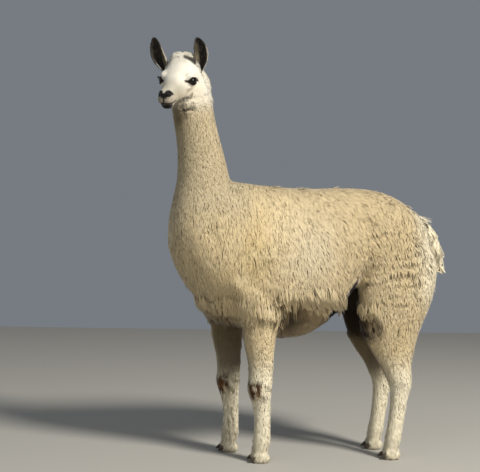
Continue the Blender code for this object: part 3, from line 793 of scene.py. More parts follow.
def face_marks(colours, points, on_head):
    """A white face, cream on the crown, with painted shade greying the muzzle and darkening the cheeks,
    and dark bare skin round the nostrils, down the cleft, along the lips, over the chin and round the eyes."""
    local = in_head(points)
    on_muzzle = ramp(local[:, 0], 0.06, 0.09) * (points[:, 2] > 1.3)
    bare = np.zeros(len(points))
    bare_lines = ((nostril[:48], 0.0100), (nostril, 0.0066), (cleft, 0.0048), (mouth[:55], 0.0060))
    for line, width in bare_lines:
        for twin in (line, mirrored(line)):
            bare = np.maximum(bare, np.exp(-((away(local, twin) / width) ** 4)))
    round_nostril = near(folded(local), (0.164, 0.020, -0.002), (0.021, 0.016, 0.0145))
    between = near(local, (0.176, 0, -0.008), (0.014, 0.014, 0.011))
    chin = near(local, (0.160, 0, -0.062), (0.030, 0.036, 0.016))
    patch = np.maximum(np.maximum(between, chin), round_nostril)
    bare = np.maximum(bare, ramp(patch, 0.25, 0.45))
    # Painted shade greys the muzzle.
    colours = mixed(colours, SHADED_MUZZLE, ramp(local[:, 0], 0.03, 0.10) * on_head)
    crown = ramp(local[:, 2], 0.070, 0.095) * ramp(local[:, 0], -0.02, -0.05)
    colours = mixed(colours, CREAM, 0.10 * crown * on_head)
    # Painted shade darkens the cheeks towards cream.
    cheek = ramp(local[:, 2], 0.0, -0.035) * ramp(local[:, 0], -0.06, -0.02)
    colours = mixed(colours, CREAM, 0.30 * cheek * on_head)
    lip_fur = ramp(near(local, (0.172, 0.004, -0.032), (0.030, 0.040, 0.018)), 0.15, 0.6) * on_muzzle
    colours = mixed(colours, LIP_GREY, lip_fur * (0.75 + 0.25 * swell(local, 0.012, 8)))
    colours = mixed(colours, NOSE_DARK, bare * on_muzzle)
    for side in (1, -1):
        gap = np.minimum(away(local, margins[side]), away(local, tear_lines[side]))
        colours = mixed(colours, LID_DARK, ramp(gap, 0.0080, 0.0048))
    return colours


def paint(points):
    """The coat's colour at each point, in linear numbers."""
    local = in_head(points)
    on_head = ramp(local[:, 0], -0.13, -0.05) * ramp(points[:, 2], 1.44, 1.55)
    on_head *= ramp(local[:, 2], -0.135, -0.06)
    colours = mixed(fleece_tones(points), FACE_WHITE, on_head)
    colours = dirt_and_shade(stained_knees(colours, points), points)
    return face_marks(colours, points, on_head)


def give_colour(mesh, colours):
    """Stores a colour for each point, which the coat's materials read."""
    attribute = mesh.color_attributes.new("coat_colour", "FLOAT_COLOR", "POINT")
    full = np.ones((len(colours), 4), np.float32)
    full[:, :3] = colours
    attribute.data.foreach_set("color", full.ravel())


SKIRT_HEIGHT = 0.606  # where the shoulder's fleece ends over the top of the foreleg


def crease_shade(points):
    """How bright the coat is left by the shade down in its creases: 1 is full."""
    shade = (1 - 0.75 * ramp(haunch_crimps(points), -0.05, -0.19)) * (1 - 0.90 * jaw_creases(points))
    # Painted shade in a ragged band under the fleece's edge over the forelegs.
    skirt_line = SKIRT_HEIGHT + 0.010 * swell(points, 0.045, 17)
    skirt = np.exp(-(((points[:, 2] - skirt_line) / 0.0065) ** 2))
    skirt *= ramp(points[:, 1], -0.40, -0.36) * ramp(points[:, 1], -0.10, -0.13)
    skirt *= np.abs(points[:, 0]) > 0.08
    return shade * (1 - 0.92 * ear_fold(points)) * (1 - 0.60 * skirt)


give_colour(skin.data, paint(points_of(skin.data)) * crease_shade(points_of(skin.data))[:, None])


def add_node(tree, kind, settings=(), links=()):
    """Adds a node, with its settings and its links from other nodes' outputs."""
    node = tree.nodes.new(kind)
    for name, value in dict(settings).items():
        if name in node.inputs:
            node.inputs[name].default_value = value
        else:
            setattr(node, name, value)
    for name, output in dict(links).items():
        tree.links.new(output, node.inputs[name])
    return node


def new_material(name):
    made = bpy.data.materials.new(name)
    made.use_nodes = True
    made.node_tree.nodes.clear()
    return made, made.node_tree


def coat_material(name, roughness, sheen, grain, depth):
    """Hair or wool coloured by the coat's own colour, with a finer grain of light and shade. Grain
    and depth are metres: from one strand or curl to the next, and how far they stand out."""
    made, tree = new_material(name)
    own = add_node(tree, "ShaderNodeAttribute", {"attribute_name": "coat_colour"})
    place = add_node(tree, "ShaderNodeTexCoord")
    noise = add_node(
        tree, "ShaderNodeTexNoise", {"Scale": 1 / grain, "Detail": 3.0, "Roughness": 0.6},
        {"Vector": place.outputs["Object"]},
    )
    shade = add_node(
        tree, "ShaderNodeMapRange", {"From Min": 0.3, "From Max": 0.7, "To Min": 0.86, "To Max": 1.10},
        {"Value": noise.outputs["Fac"]},
    )
    colour = add_node(
        tree, "ShaderNodeVectorMath", {"operation": "SCALE"},
        {"Vector": own.outputs["Color"], "Scale": shade.outputs["Result"]},
    )
    bump = add_node(
        tree, "ShaderNodeBump", {"Strength": 0.6, "Distance": depth}, {"Height": noise.outputs["Fac"]}
    )
    shader = add_node(
        tree, "ShaderNodeBsdfPrincipled",
        {"Roughness": roughness, "Specular IOR Level": 0.25, "Sheen Weight": sheen, "Sheen Roughness": 0.45},
        {"Base Color": colour.outputs["Vector"], "Normal": bump.outputs["Normal"]},
    )
    add_node(tree, "ShaderNodeOutputMaterial", {}, {"Surface": shader.outputs["BSDF"]})
    return made


# Short hair on hide: quite matt, with strands 1.6 mm apart that show as a fine broken grain.
skin_hair = coat_material("short_hair_on_hide", roughness=0.78, sheen=0.15, grain=0.0016, depth=0.0012)
skin.data.materials.clear()
skin.data.materials.append(skin_hair)

# --- the locks of the coat ---------------------------------------------------------------------------
# The coat grows in locks: strands that cling together, each a thin three-sided blade that tapers to
# a point. A lock starts in the skin, rises through the coat and lies down over its neighbours.
PATCH = 0.003  # the size of a lock's own place on the coat's colour map
ROOT_UNDER = 0.0015  # how deep in the skin a lock starts
RISE = 0.3  # share of its length in which a lock comes up through the coat
LONG_LEVELS = (0.0, 0.3, 0.68, 1.0)  # where a lock bends, as shares of its length
SHORT_LEVELS = (0.0, 0.45, 1.0)
LOCK_TAPER = (0.75, 1.0, 0.7)  # its width at each bend, against its full width
LOCK_ROLL = 0.12
BUNCH_REACH = 0.05  # a lock joins no bunch farther off than this
ON_FLOOR = 0.0006  # hair that reaches the floor lies on it
LUMP_HEIGHT = 0.0030  # how far the fleece's relief stands out: lumps, streaks and crimped shelves
STREAK_HEIGHT = 0.0022
CRIMP_HEIGHT = 0.026
DEEPEST = 0.007


def unit(ways):
    """The same ways, each one long."""
    return ways / np.linalg.norm(ways, axis=1)[:, None].clip(1e-9)


def ground_of(obj, fields=()):
    """What the locks need to know of the surface they grow on, with an unwrap of its own shape."""
    mesh = obj.data
    only(obj)
    bpy.ops.object.mode_set(mode="EDIT")
    bpy.ops.mesh.select_all(action="SELECT")
    bpy.ops.uv.smart_project(angle_limit=math.radians(66), island_margin=0.002)
    bpy.ops.object.mode_set(mode="OBJECT")
    mesh.calc_loop_triangles()
    triangles = listed(mesh.loop_triangles, "vertices", 3, np.int32)
    loops = listed(mesh.loop_triangles, "loops", 3, np.int32)
    points = points_of(mesh)
    corners = points[triangles]
    sides = np.cross(corners[:, 1] - corners[:, 0], corners[:, 2] - corners[:, 0])
    return SimpleNamespace(
        triangles=triangles,
        points=points,
        normals=normals_of(mesh),
        colours=listed(mesh.color_attributes["coat_colour"].data, "color", 4)[:, :3].astype(float),
        unwrap=listed(mesh.uv_layers.active.data, "uv", 2)[loops],
        areas=np.linalg.norm(sides, axis=1) / 2,
        centres=corners.mean(1),
        fields={name: field(mesh, name) for name in fields},
        surface=BVHTree.FromPolygons(points.tolist(), triangles.tolist()),
    )


def on_triangles(ground, name):
    """What a field says at each triangle's centre."""
    return ground.fields[name][ground.triangles].mean(1)


def roots_in(ground, chosen, spacing, draw):
    """Evenly scattered roots on the chosen triangles, and what the ground says at each. The spacing is
    one number, or one for each triangle."""
    picked = np.flatnonzero(chosen)
    gaps = np.broadcast_to(spacing, len(chosen))[picked]
    total = np.cumsum(ground.areas[picked] / gaps**2)
    count = int(total[-1])
    at = (np.arange(count) + draw.random(count)) * (total[-1] / count)
    found = picked[np.searchsorted(total, at).clip(0, len(picked) - 1)]
    a, b = draw.random((2, count))
    over = a + b > 1
    a[over], b[over] = 1 - a[over], 1 - b[over]
    weights = np.stack((1 - a - b, a, b), 1)
    corners = ground.triangles[found]
    spread = weights[:, :, None]
    roots = SimpleNamespace(
        count=count,
        places=(ground.points[corners] * spread).sum(1),
        normals=unit((ground.normals[corners] * spread).sum(1)),
        colours=(ground.colours[corners] * spread).sum(1),
        patches=(ground.unwrap[found] * spread).sum(1),
    )
    for name, values in ground.fields.items():
        setattr(roots, name, (values[corners] * weights).sum(1))
    return roots


def lay(ground, roots, ways, lengths, heights, fall, levels):
    """Walks each lock over the ground. It heads the way given, keeps its height above the skin, and
    falls free where the body turns away under it. Returns its line and the skin's normal along it."""
    line = [roots.places - roots.normals * ROOT_UNDER]
    facing = [roots.normals]
    here = roots.places
    for before, share in zip(levels, levels[1:]):
        step = lengths * (share - before)
        flat = unit(ways - facing[-1] * (ways * facing[-1]).sum(1)[:, None])
        heading = unit(flat * (1 - fall) + ways * fall)
        ahead_of = here + heading * step[:, None]
        spots, turned = np.empty_like(here), np.empty_like(here)
        for k, spot in enumerate(ahead_of):
            spots[k], turned[k] = ground.surface.find_nearest(spot)[:2]
        height = ((ahead_of - spots) * turned).sum(1)
        want = heights * min(1.0, share / RISE) ** 0.7
        lift = np.maximum(want - height, 0) if share > RISE else want - height
        here = ahead_of + turned * lift[:, None]
        line.append(here)
        facing.append(turned)
    return np.stack(line, 1), np.stack(facing, 1)


def gathered(line, places, every, pull, draw):
    """Draws the locks' ends together in bunches, each round one lock out of this many."""
    leaders = draw.permutation(len(places))[: max(2, len(places) // every)]
    tree = KDTree(len(leaders))
    for k, leader in enumerate(leaders):
        tree.insert(places[leader], k)
    tree.balance()
    own = np.array([leaders[tree.find(place)[1]] for place in places])
    share = np.linspace(0, 1, line.shape[1])[None, :, None] ** 1.4
    near_enough = np.linalg.norm(places[own] - places, axis=1) < BUNCH_REACH
    return line + (line[own] - line) * share * (pull * near_enough)[:, None, None], own


def blades(name, line, facing, widths, colours, patches, flat, soft, draw):
    """One joined mesh of three-sided tapering blades that follow the lines. Their shading leans on
    the skin's own normals, as light passes through thin wool."""
    count, levels = line.shape[:2]
    rings = levels - 1
    run = np.diff(line, axis=1)
    way = run.copy()
    way[:, 1:] += run[:, :-1]
    way /= np.linalg.norm(way, axis=2)[:, :, None].clip(1e-9)
    across = np.cross(way, facing[:, :rings])
    across /= np.linalg.norm(across, axis=2)[:, :, None].clip(1e-6)
    upward = np.cross(across, way)
    roll = draw.normal(0, LOCK_ROLL, count)[:, None, None]
    c, s = np.cos(roll), np.sin(roll)
    across, upward = across * c + upward * s, upward * c - across * s
    taper = np.array(LOCK_TAPER[-rings:])
    size = widths[:, None, None] * taper[None, :, None] / 2
    points = np.empty((count, rings * 3 + 1, 3))
    outward = np.empty_like(points)
    for k in range(3):
        angle = math.radians(90 + 120 * k)
        points[:, k : rings * 3 : 3] = line[:, :rings] + size * (
            across * math.cos(angle) + upward * (math.sin(angle) * flat)
        )
        out = across * math.cos(angle) + upward * math.sin(angle)
        outward[:, k : rings * 3 : 3] = out * (1 - soft) + facing[:, :rings] * soft
    points[:, -1] = line[:, -1]
    outward[:, -1] = way[:, -1] * 0.2 + facing[:, -1]
    outward /= np.linalg.norm(outward, axis=2)[:, :, None].clip(1e-6)
    points[:, :, 2] = np.maximum(points[:, :, 2], ON_FLOOR)
    shape = []
    for r in range(rings - 1):
        for k in range(3):
            a, b = r * 3 + k, r * 3 + (k + 1) % 3
            shape.append((a, a + 3, b + 3, b))
    top = (rings - 1) * 3
    caps = [(0, 1, 2)] + [(top + k, rings * 3, top + (k + 1) % 3) for k in range(3)]
    start = np.arange(count)[:, None, None] * (rings * 3 + 1)
    quads = (np.array(shape)[None] + start).reshape(-1, 4)
    threes = (np.array(caps)[None] + start).reshape(-1, 3)
    mesh = bpy.data.meshes.new(name)
    mesh.from_pydata(points.reshape(-1, 3), [], quads.tolist() + threes.tolist())
    mesh.update()
    give_colour(mesh, colours.reshape(-1, 3))
    spread = np.empty((count, rings * 3 + 1, 2))
    share = np.linspace(0, 1, levels)
    for k in range(3):
        spread[:, k : rings * 3 : 3, 0] = (k / 2 - 0.5) * PATCH
        spread[:, k : rings * 3 : 3, 1] = (share[:rings] - 0.5) * PATCH
    spread[:, -1] = (0, 0.5 * PATCH)
    spread = (spread + patches[:, None, :]).reshape(-1, 2)
    loops = listed(mesh.loops, "vertex_index", 1, np.int32)[:, 0]
    mesh.uv_layers.new(name="OFBake").data.foreach_set("uv", spread[loops].astype(np.float32).ravel())
    mesh.polygons.foreach_set("use_smooth", [True] * len(mesh.polygons))
    mesh.normals_split_custom_set_from_vertices(outward.reshape(-1, 3))
    piece = bpy.data.objects.new(name, mesh)
    bpy.context.scene.collection.objects.link(piece)
    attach(piece, "root")
    return piece


def lock_colours(roots, own, levels, draw, root_shade, contrast):
    """Each lock takes the coat's colour at its root, with painted shade that darkens it inside the coat."""
    per_lock = 1 + contrast * draw.normal(0, 1, roots.count)
    per_bunch = 1 + contrast * draw.normal(0, 1, roots.count)[own]
    base = roots.colours * (per_lock * per_bunch)[:, None]
    full = np.empty((roots.count, (len(levels) - 1) * 3 + 1, 3))
    for r, share in enumerate(levels[:-1]):
        full[:, r * 3 : r * 3 + 3] = (base * (root_shade + (1 - root_shade) * min(1, share * 2)))[:, None, :]
    full[:, -1] = base
    return full.clip(0, 1)


def relief(points):
    """How far the fleece stands out from its mean: soft lumps everywhere, streaks down the barrel, and
    crimped shelves across the haunch."""
    stretched = points * (1, 1, 0.35) + (0, 0.5, 0) * points[:, 2:]
    lumps = LUMP_HEIGHT * swell(points, 0.12, 31) + STREAK_HEIGHT * swell(stretched, 0.045, 32)
    return np.maximum(lumps + CRIMP_HEIGHT * haunch_crimps(points), -DEEPEST)


def raised(line, facing, amount):
    """The locks moved out and in by the relief, with their normals leaning as its slopes do."""
    flat_line = line.reshape(-1, 3)
    step = 0.004
    here = relief(flat_line)
    slope = np.stack([(relief(flat_line + np.eye(3)[k] * step) - here) / step for k in range(3)], 1)
    share = (amount[:, None] * np.array([0.0] + [1.0] * (line.shape[1] - 1))[None, :]).ravel()[:, None]
    normals = facing.reshape(-1, 3)
    along_skin = slope - normals * (slope * normals).sum(1)[:, None]
    lifted = flat_line + normals * here[:, None] * share
    leaning = unit(normals - along_skin * share)
    return lifted.reshape(line.shape), leaning.reshape(line.shape)


def grow(
    name, ground, chosen, seed, spacing, lengths, widths, heights, ways, material,
    fall=0.25, every=9, pull=0.3, stray=(0, 0), rough=0.0, levels=SHORT_LEVELS, flat=0.22, soft=0.8,
    root_shade=0.93, contrast=0.03,
):
    """A piece of the coat. Lengths, widths and heights are numbers or functions of the roots. One lock
    in every so many leads a bunch, and the pull draws the bunch together. Stray is how many of the
    bunches stand off the coat, and how far. Rough is the share of the fleece's relief that it takes."""
    draw = np.random.default_rng(seed)
    roots = roots_in(ground, chosen, spacing, draw)

    def read(measure):
        return measure(roots) if callable(measure) else np.full(roots.count, float(measure))

    long = read(lengths) * draw.uniform(0.7, 1.25, roots.count)
    on_top = draw.random(roots.count) < 0.75
    outer, inner = draw.uniform(0.92, 1.0, roots.count), draw.uniform(0.8, 0.92, roots.count)
    high = read(heights) * np.where(on_top, outer, inner)
    headings = ways(roots, draw)
    line, facing = lay(ground, roots, headings, long, high, fall, levels)
    line, own = gathered(line, roots.places, every, read(pull), draw)
    often, amount = stray
    lift = (draw.random(roots.count) < read(often))[own] * amount * draw.uniform(0.5, 1.0, roots.count)[own]
    bend = np.cross(headings, roots.normals) * (draw.normal(0, 0.05, roots.count) * long)[:, None]
    for k, share in enumerate(levels):
        line[:, k] += bend * math.sin(math.pi * 1.3 * share) + facing[:, k] * (lift * share * share)[:, None]
    if rough:
        in_relief = rough * (1 - roots.on_head) * ramp(roots.coat_depth, 0.008, 0.018)
        line, facing = raised(line, facing, in_relief)
    thick = read(widths) * draw.uniform(0.6, 1.3, roots.count)
    colours = lock_colours(roots, own, levels, draw, root_shade, contrast)
    shade = crease_shade(line.reshape(-1, 3)).reshape(line.shape[:2])
    colours[:, :-1] *= np.repeat(shade[:, :-1], 3, axis=1)[:, :, None]
    colours[:, -1] *= shade[:, -1:]
    piece = blades(name, line, facing, thick, colours, roots.patches, flat, soft, draw)
    piece.data.materials.append(material)
    return piece


# --- the fleece --------------------------------------------------------------------------------------
# Long open locks on the barrel and thighs, shorter crimped wool on the neck, and woolly legs. It is
# one coat: the pieces part it only where a shearer would lay it out.
WOOL_FROM = 0.0058  # where the coat is shallower than this it is hair and not wool
BODY_HALVES = 0.88  # the height at which the fleece is parted into upper and lower pieces
hide = ground_of(skin, ("coat_depth", "on_head"))
hide.colours = paint(hide.points)
centres = hide.centres
hide_depth = on_triangles(hide, "coat_depth")
hide_parts = parts_at(centres)
# Llama wool: soft and quite without gloss, with a pale bloom where it turns away, and curls that
# lie 6 mm apart.
wool = coat_material("llama_wool", roughness=0.9, sheen=0.3, grain=0.006, depth=0.001)


def wool_ways(roots, draw):
    """Which way the wool falls: down the legs and neck, down and back on the barrel, and back and
    down from the face over the cheeks."""
    places = roots.places
    side = np.tanh(places[:, 0] / 0.04)
    high = ramp(places[:, 2], 1.08, 1.25)
    flank = ramp(places[:, 1], -0.20, 0.15) * ramp(places[:, 1], 0.40, 0.22) * ramp(places[:, 2], 0.55, 0.65)
    beside_fold = ramp(in_fold(places), -0.08, -0.02) * ramp(places[:, 1], 0.23, 0.20)
    ways = np.zeros((len(places), 3))
    ways[:, 0] = 0.35 * side * ramp(places[:, 2], 1.0, 1.2) * (1 - high) + 0.12 * swell(places, 0.09, 12)
    ways[:, 1] = 0.12 + 0.38 * flank + 0.20 * swell(places, 0.13, 11) * (1 - 0.5 * high)
    ways[:, 1] += (-0.5 - ways[:, 1]) * beside_fold
    ways[:, 2] = -1
    local = in_head(places)
    off = np.tanh(local[:, 1] / 0.03)
    crown = ramp(local[:, 2], 0.03, 0.07)
    over = np.stack((-0.9 + 0.5 * crown, (0.25 + 0.3 * crown) * off, -0.45 + 0.25 * crown), 1)
    over[:, 1] += 0.25 * swell(places, 0.03, 13)
    over = over @ np.array(head_turned).T
    ways = unit(ways) * (1 - roots.on_head)[:, None] + unit(over) * roots.on_head[:, None]
    loose = 0.10 + 0.14 * high
    return unit(ways + draw.normal(0, 1, ways.shape) * loose[:, None])


def fleece_length(roots):
    """Shorter on the crimped haunch, so that its shelves stay crisp."""
    haunch = ramp(roots.places[:, 1], 0.18, 0.28) * ramp(roots.places[:, 2], 0.60, 0.68)
    beside_fold = ramp(in_fold(roots.places), -0.06, -0.005)
    return (roots.coat_depth * (4.5 - 1.7 * haunch) + 0.004) * (1 - 0.6 * beside_fold)


def fleece_pull(roots):
    """Loose over the shoulder, and drawn into points towards the haunch and low on the sides."""
    lower_edge = ramp(roots.places[:, 2], 0.76, 0.64)
    return 0.06 + 0.16 * ramp(roots.places[:, 1], -0.10, 0.20) + 0.30 * lower_edge


def rump_tufts(roots):
    """The share of bunches that stand out from the fleece: few but on the rump's rear edge."""
    rear = ramp(roots.places[:, 1], 0.40, 0.52) * ramp(roots.places[:, 2], 0.70, 0.85)
    return 0.015 + 0.30 * rear


def wool_widths(roots):
    return (0.0022 + 0.30 * roots.coat_depth) * (1 - 0.20 * ramp(roots.places[:, 2], 1.00, 1.25))


def wool_heights(roots):
    """As high over the skin as the skin was set in under the outside of the coat."""
    return (SET_IN + (1 - SET_IN) * roots.on_head) * 1.04 * roots.coat_depth


def leg_wool_length(roots):
    return 0.005 + 2.7 * roots.coat_depth


def leg_wool_width(roots):
    return 1.3 * wool_widths(roots)


def neck_wool_length(roots):
    return 0.004 + 3.0 * roots.coat_depth


woolly = (hide_depth > WOOL_FROM) & (hide_parts != "tail")
high_up = centres[:, 2] + 0.03 * swell(centres, 0.10, 15) > 1.20
low_down = (centres[:, 2] < 0.56) & (hide_parts == "leg")
barrel = woolly & ~high_up & ~low_down
on_left = centres[:, 0] > 0
wool_gaps = (0.00305 + 0.247 * hide_depth) * (1 - 0.30 * ramp(centres[:, 2], 1.00, 1.25))
for end, back, seed in (("fore", False, 20), ("hind", True, 30)):
    for side, left in (("right", False), ("left", True)):
        here = (on_left == left) & ((centres[:, 1] > 0) == back)
        for level, upper in (("upper", True), ("lower", False)):
            grow(
                f"fleece_{end}_{level}_{side}", hide,
                barrel & here & ((centres[:, 2] > BODY_HALVES) == upper), seed + 2 * upper + left,
                wool_gaps, fleece_length, wool_widths, wool_heights, wool_ways, wool,
                every=12, pull=fleece_pull, stray=(rump_tufts, 0.013), rough=1.0,
            )
        grow(
            f"leg_wool_{end}_{side}", hide, woolly & low_down & here, seed + 4 + left,
            0.94 * wool_gaps, leg_wool_length, leg_wool_width, wool_heights, wool_ways, wool,
            every=8, pull=0.05, stray=(0.06, 0.006),
        )
for side, left in (("right", False), ("left", True)):
    grow(
        "neck_wool_" + side, hide, woolly & high_up & (on_left == left), 50 + left, wool_gaps,
        neck_wool_length, wool_widths, wool_heights, wool_ways, wool,
        every=7, pull=0.10, stray=(0.01, 0.004),
    )

# --- the hanging edges and the tail ------------------------------------------------------------------
# Long pointed locks that hang free where the fleece ends: along the belly, across the chest over the
# tops of the forelegs, in front of the thigh, and all the way down the tail.
EDGE_BAND = 0.045  # the fringe's roots stand in a band this high


def hanging(roots, draw):
    """Straight down, a little outwards, and swept back along the belly."""
    ways = np.zeros((roots.count, 3))
    ways[:, 0] = 0.10 * np.sign(roots.places[:, 0])
    ways[:, 1] = 0.10 + 0.35 * ramp(roots.places[:, 1], -0.20, 0.10) * ramp(roots.places[:, 1], 0.2, 0.1)
    ways[:, 2] = -1
    return unit(ways + draw.normal(0, 0.10, ways.shape))


def edge_of_fleece(name, chosen, seed, length):
    """A fringe of locks of this length."""
    grow(
        name, hide, chosen, seed, spacing=0.0055, lengths=length, widths=0.0055, heights=0.021,
        ways=hanging, material=wool, fall=0.8, every=14, pull=0.68, levels=LONG_LEVELS,
    )


def within(values, low, high):
    return (values > low) & (values < high)


on_trunk = (hide_parts == "trunk") & (hide_depth > WOOL_FROM)
off_middle = np.abs(centres[:, 0])
ragged = centres[:, 2] + 0.022 * swell(centres, 0.09, 16)  # a height that wanders along the fringe
along_belly = within(centres[:, 1], BELLY_ENDS[0] - 0.02, BELLY_ENDS[1] - 0.02) & (off_middle > 0.10)
edge = on_trunk & along_belly & within(ragged, BELLY_EDGE, BELLY_EDGE + EDGE_BAND)
edge_of_fleece("belly_edge", edge, 61, length=0.068)
breast = (centres[:, 1] < -0.30) & within(ragged, 0.62, 0.70)
edge_of_fleece("breast_edge", on_trunk & breast, 62, length=0.055)
over_leg = within(centres[:, 1], -0.36, -0.11) & within(ragged, 0.635, 0.685) & (off_middle > 0.13)
edge_of_fleece("shoulder_edge", woolly & over_leg, 64, length=0.062)
thigh_front = within(across_fold(centres), 0.235, 0.35) & within(centres[:, 2], 0.655, 0.70)
edge_of_fleece("thigh_edge", woolly & thigh_front & (off_middle > 0.14), 63, length=0.040)
grow(
    "tail_wool", hide, hide_parts == "tail", 60, spacing=0.0046, lengths=0.060, widths=0.0062,
    heights=0.020, ways=hanging, material=wool,
    fall=0.45, every=26, pull=0.7, levels=LONG_LEVELS, stray=(0.35, 0.03),
)

# --- the face and feet ---------------------------------------------------------------------------------
# Short smooth hair that lies back from the nose and down over the toes. It is finest on the muzzle,
# and none grows on the dark skin of the nose, lips and lids.
LIDS_BARE = 0.006  # how far round the eyeball no hair grows
# Short close hair: matt, but smoother than wool, so that the face looks clean and even.
short_fur = coat_material("short_llama_hair", roughness=0.8, sheen=0.2, grain=0.003, depth=0.0006)
local_centres = in_head(centres)
triangle_colours = hide.colours[hide.triangles].mean(1)
pale = triangle_colours.sum(1) > 0.75  # no hair grows where the hide itself is dark
away_from_eyes = np.ones(len(centres), bool)
for side in (1, -1):
    gap = np.linalg.norm(local_centres - np.array(EYE_IN_HEAD) * (1, side, 1), axis=1)
    away_from_eyes &= gap > EYEBALL + LIDS_BARE
face = (on_triangles(hide, "on_head") > 0.5) & (hide_depth <= WOOL_FROM + 0.001)
face_gaps = 0.0031 - 0.0010 * ramp(local_centres[:, 0], 0.03, 0.14)


def face_ways(roots, draw):
    """Back from the nose, parting down the middle, and down the cheeks."""
    local = in_head(roots.places)
    off = np.tanh(local[:, 1] / 0.02)
    ways = np.stack((-np.ones(roots.count), 0.25 * off, -0.35 * ramp(local[:, 2], 0.03, -0.04)), 1)
    ways[:, 1] += 0.12 * swell(roots.places, 0.03, 14)
    return unit(unit(ways) @ np.array(head_turned).T + draw.normal(0, 0.08, ways.shape))


def towards_nose(roots):
    """0 on the forehead and cheeks, 1 on the muzzle, where the hair is shortest and finest."""
    return ramp(in_head(roots.places)[:, 0], 0.03, 0.15)


def face_length(roots):
    return 0.0095 - 0.0060 * towards_nose(roots) + 1.6 * (roots.coat_depth - FACE_DEPTH)


def face_width(roots):
    return 0.0016 - 0.0006 * towards_nose(roots)


grow(
    "face_fur", hide, face & pale & away_from_eyes, 71, spacing=face_gaps, lengths=face_length,
    widths=face_width, heights=0.0016, ways=face_ways, material=short_fur,
    every=6, pull=0.15, root_shade=0.97, contrast=0.012,
)


def foot_ways(roots, draw):
    """Forwards and down over the toes."""
    ways = np.repeat(np.array([[0.0, -0.35, -1.0]]), roots.count, axis=0)
    return unit(ways + draw.normal(0, 0.12, ways.shape))


feet = (centres[:, 2] < 0.16) & (hide_depth <= 0.0075) & (centres[:, 2] > 0.007)
grow(
    "foot_hair", hide, feet, 72, spacing=0.0043, lengths=0.019, widths=0.0028, heights=0.003,
    ways=foot_ways, material=short_fur,
    fall=0.45, every=11, pull=0.5, stray=(0.35, 0.009), contrast=0.06,
)

# --- the wool of the jaw -----------------------------------------------------------------------------
# Loose tufts that hang from under the jaw and behind the cheeks, with shade between them.
under_jaw = (local_centres[:, 2] < -0.058) & within(local_centres[:, 0], -0.06, 0.088)
under_jaw &= (on_triangles(hide, "on_head") > 0.3) & (centres[:, 2] > 1.45)


def jaw_ways(roots, draw):
    """Down, and a little back from the chin."""
    ways = np.repeat(np.array([[-0.35, 0.0, -1.0]]), roots.count, axis=0) @ np.array(head_turned).T
    return unit(ways + (0, 0, -0.5) + draw.normal(0, 0.16, ways.shape))


def jaw_heights(roots):
    return 0.0005 + 1.05 * roots.coat_depth


grow(
    "jaw_wool", hide, under_jaw, 73, spacing=0.0030, lengths=0.015, widths=0.0028, heights=jaw_heights,
    ways=jaw_ways, material=wool, fall=0.4, every=16, pull=0.4, root_shade=0.9,
)

# --- the eyes ----------------------------------------------------------------------------------------
# Large wet eyeballs, near black: a very dark brown iris with a level pupil, under a clear bulging
# cornea.
CORNEA = 0.0012  # how far the cornea bulges past the ball
BALL_UNDER_LIDS = 0.0003  # how much smaller the ball is than the hollow of the lids
IRIS = math.radians(38)
PUPIL = (0.42, 0.20)  # half its width and half its height, against the ball's radius
EYE_WHITE = "2E2420"
EYE_IRIS = "120B08"
EYE_PUPIL = "030303"
# A wet cornea: the eye looks almost black, with one small soft highlight.
eye_gloss, tree = new_material("wet_eyeball")
seen = add_node(tree, "ShaderNodeAttribute", {"attribute_name": "coat_colour"})
ball_shader = add_node(
    tree, "ShaderNodeBsdfPrincipled",
    {"Roughness": 0.25, "Specular IOR Level": 0.25, "Coat Weight": 0.3, "Coat Roughness": 0.05, "IOR": 1.38},
    {"Base Color": seen.outputs["Color"]},
)
add_node(tree, "ShaderNodeOutputMaterial", {}, {"Surface": ball_shader.outputs["BSDF"]})
for name, side in (("left", 1), ("right", -1)):
    deselect()
    bpy.ops.mesh.primitive_uv_sphere_add(segments=64, ring_count=40, radius=1, location=(0, 0, 0))
    ball = bpy.context.object
    ball.name = ball.data.name = "eyeball_" + name
    gaze, nose, up = eye_frame(side)
    points = points_of(ball.data)
    turned = np.stack((nose, up, gaze), 1)
    angle = np.arccos(points[:, 2].clip(-1, 1))
    bulge = EYEBALL - BALL_UNDER_LIDS + CORNEA * ramp(angle, IRIS * 1.1, 0)
    local = np.array(EYE_IN_HEAD) * (1, side, 1) + (points @ turned.T) * bulge[:, None]
    set_points(ball.data, out_of_head(local))
    if np.linalg.det(turned) < 0:
        only(ball)
        bpy.ops.object.mode_set(mode="EDIT")
        bpy.ops.mesh.select_all(action="SELECT")
        bpy.ops.mesh.flip_normals()
        bpy.ops.object.mode_set(mode="OBJECT")
    colours = np.repeat(linear(EYE_WHITE)[None, :], len(points), axis=0)
    colours = mixed(colours, EYE_IRIS, ramp(angle, IRIS * 1.05, IRIS * 0.92))
    pupil = (points[:, 0] / PUPIL[0]) ** 2 + (points[:, 1] / PUPIL[1]) ** 2
    colours = mixed(colours, EYE_PUPIL, ramp(pupil, 1.15, 0.85) * (points[:, 2] > 0))
    give_colour(ball.data, colours)
    ball.data.materials.append(eye_gloss)
    only(ball)
    bpy.ops.object.shade_smooth()
    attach(ball, "root")
    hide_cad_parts("eye_" + name)

# --- the lashes --------------------------------------------------------------------------------------
# Long dark lashes that stand out from the upper lid and curve down, and a short row on the lower lid.
LASH_WIDTH = 0.0009
LASHES_A_ROW = 20  # on the lashes' colour map
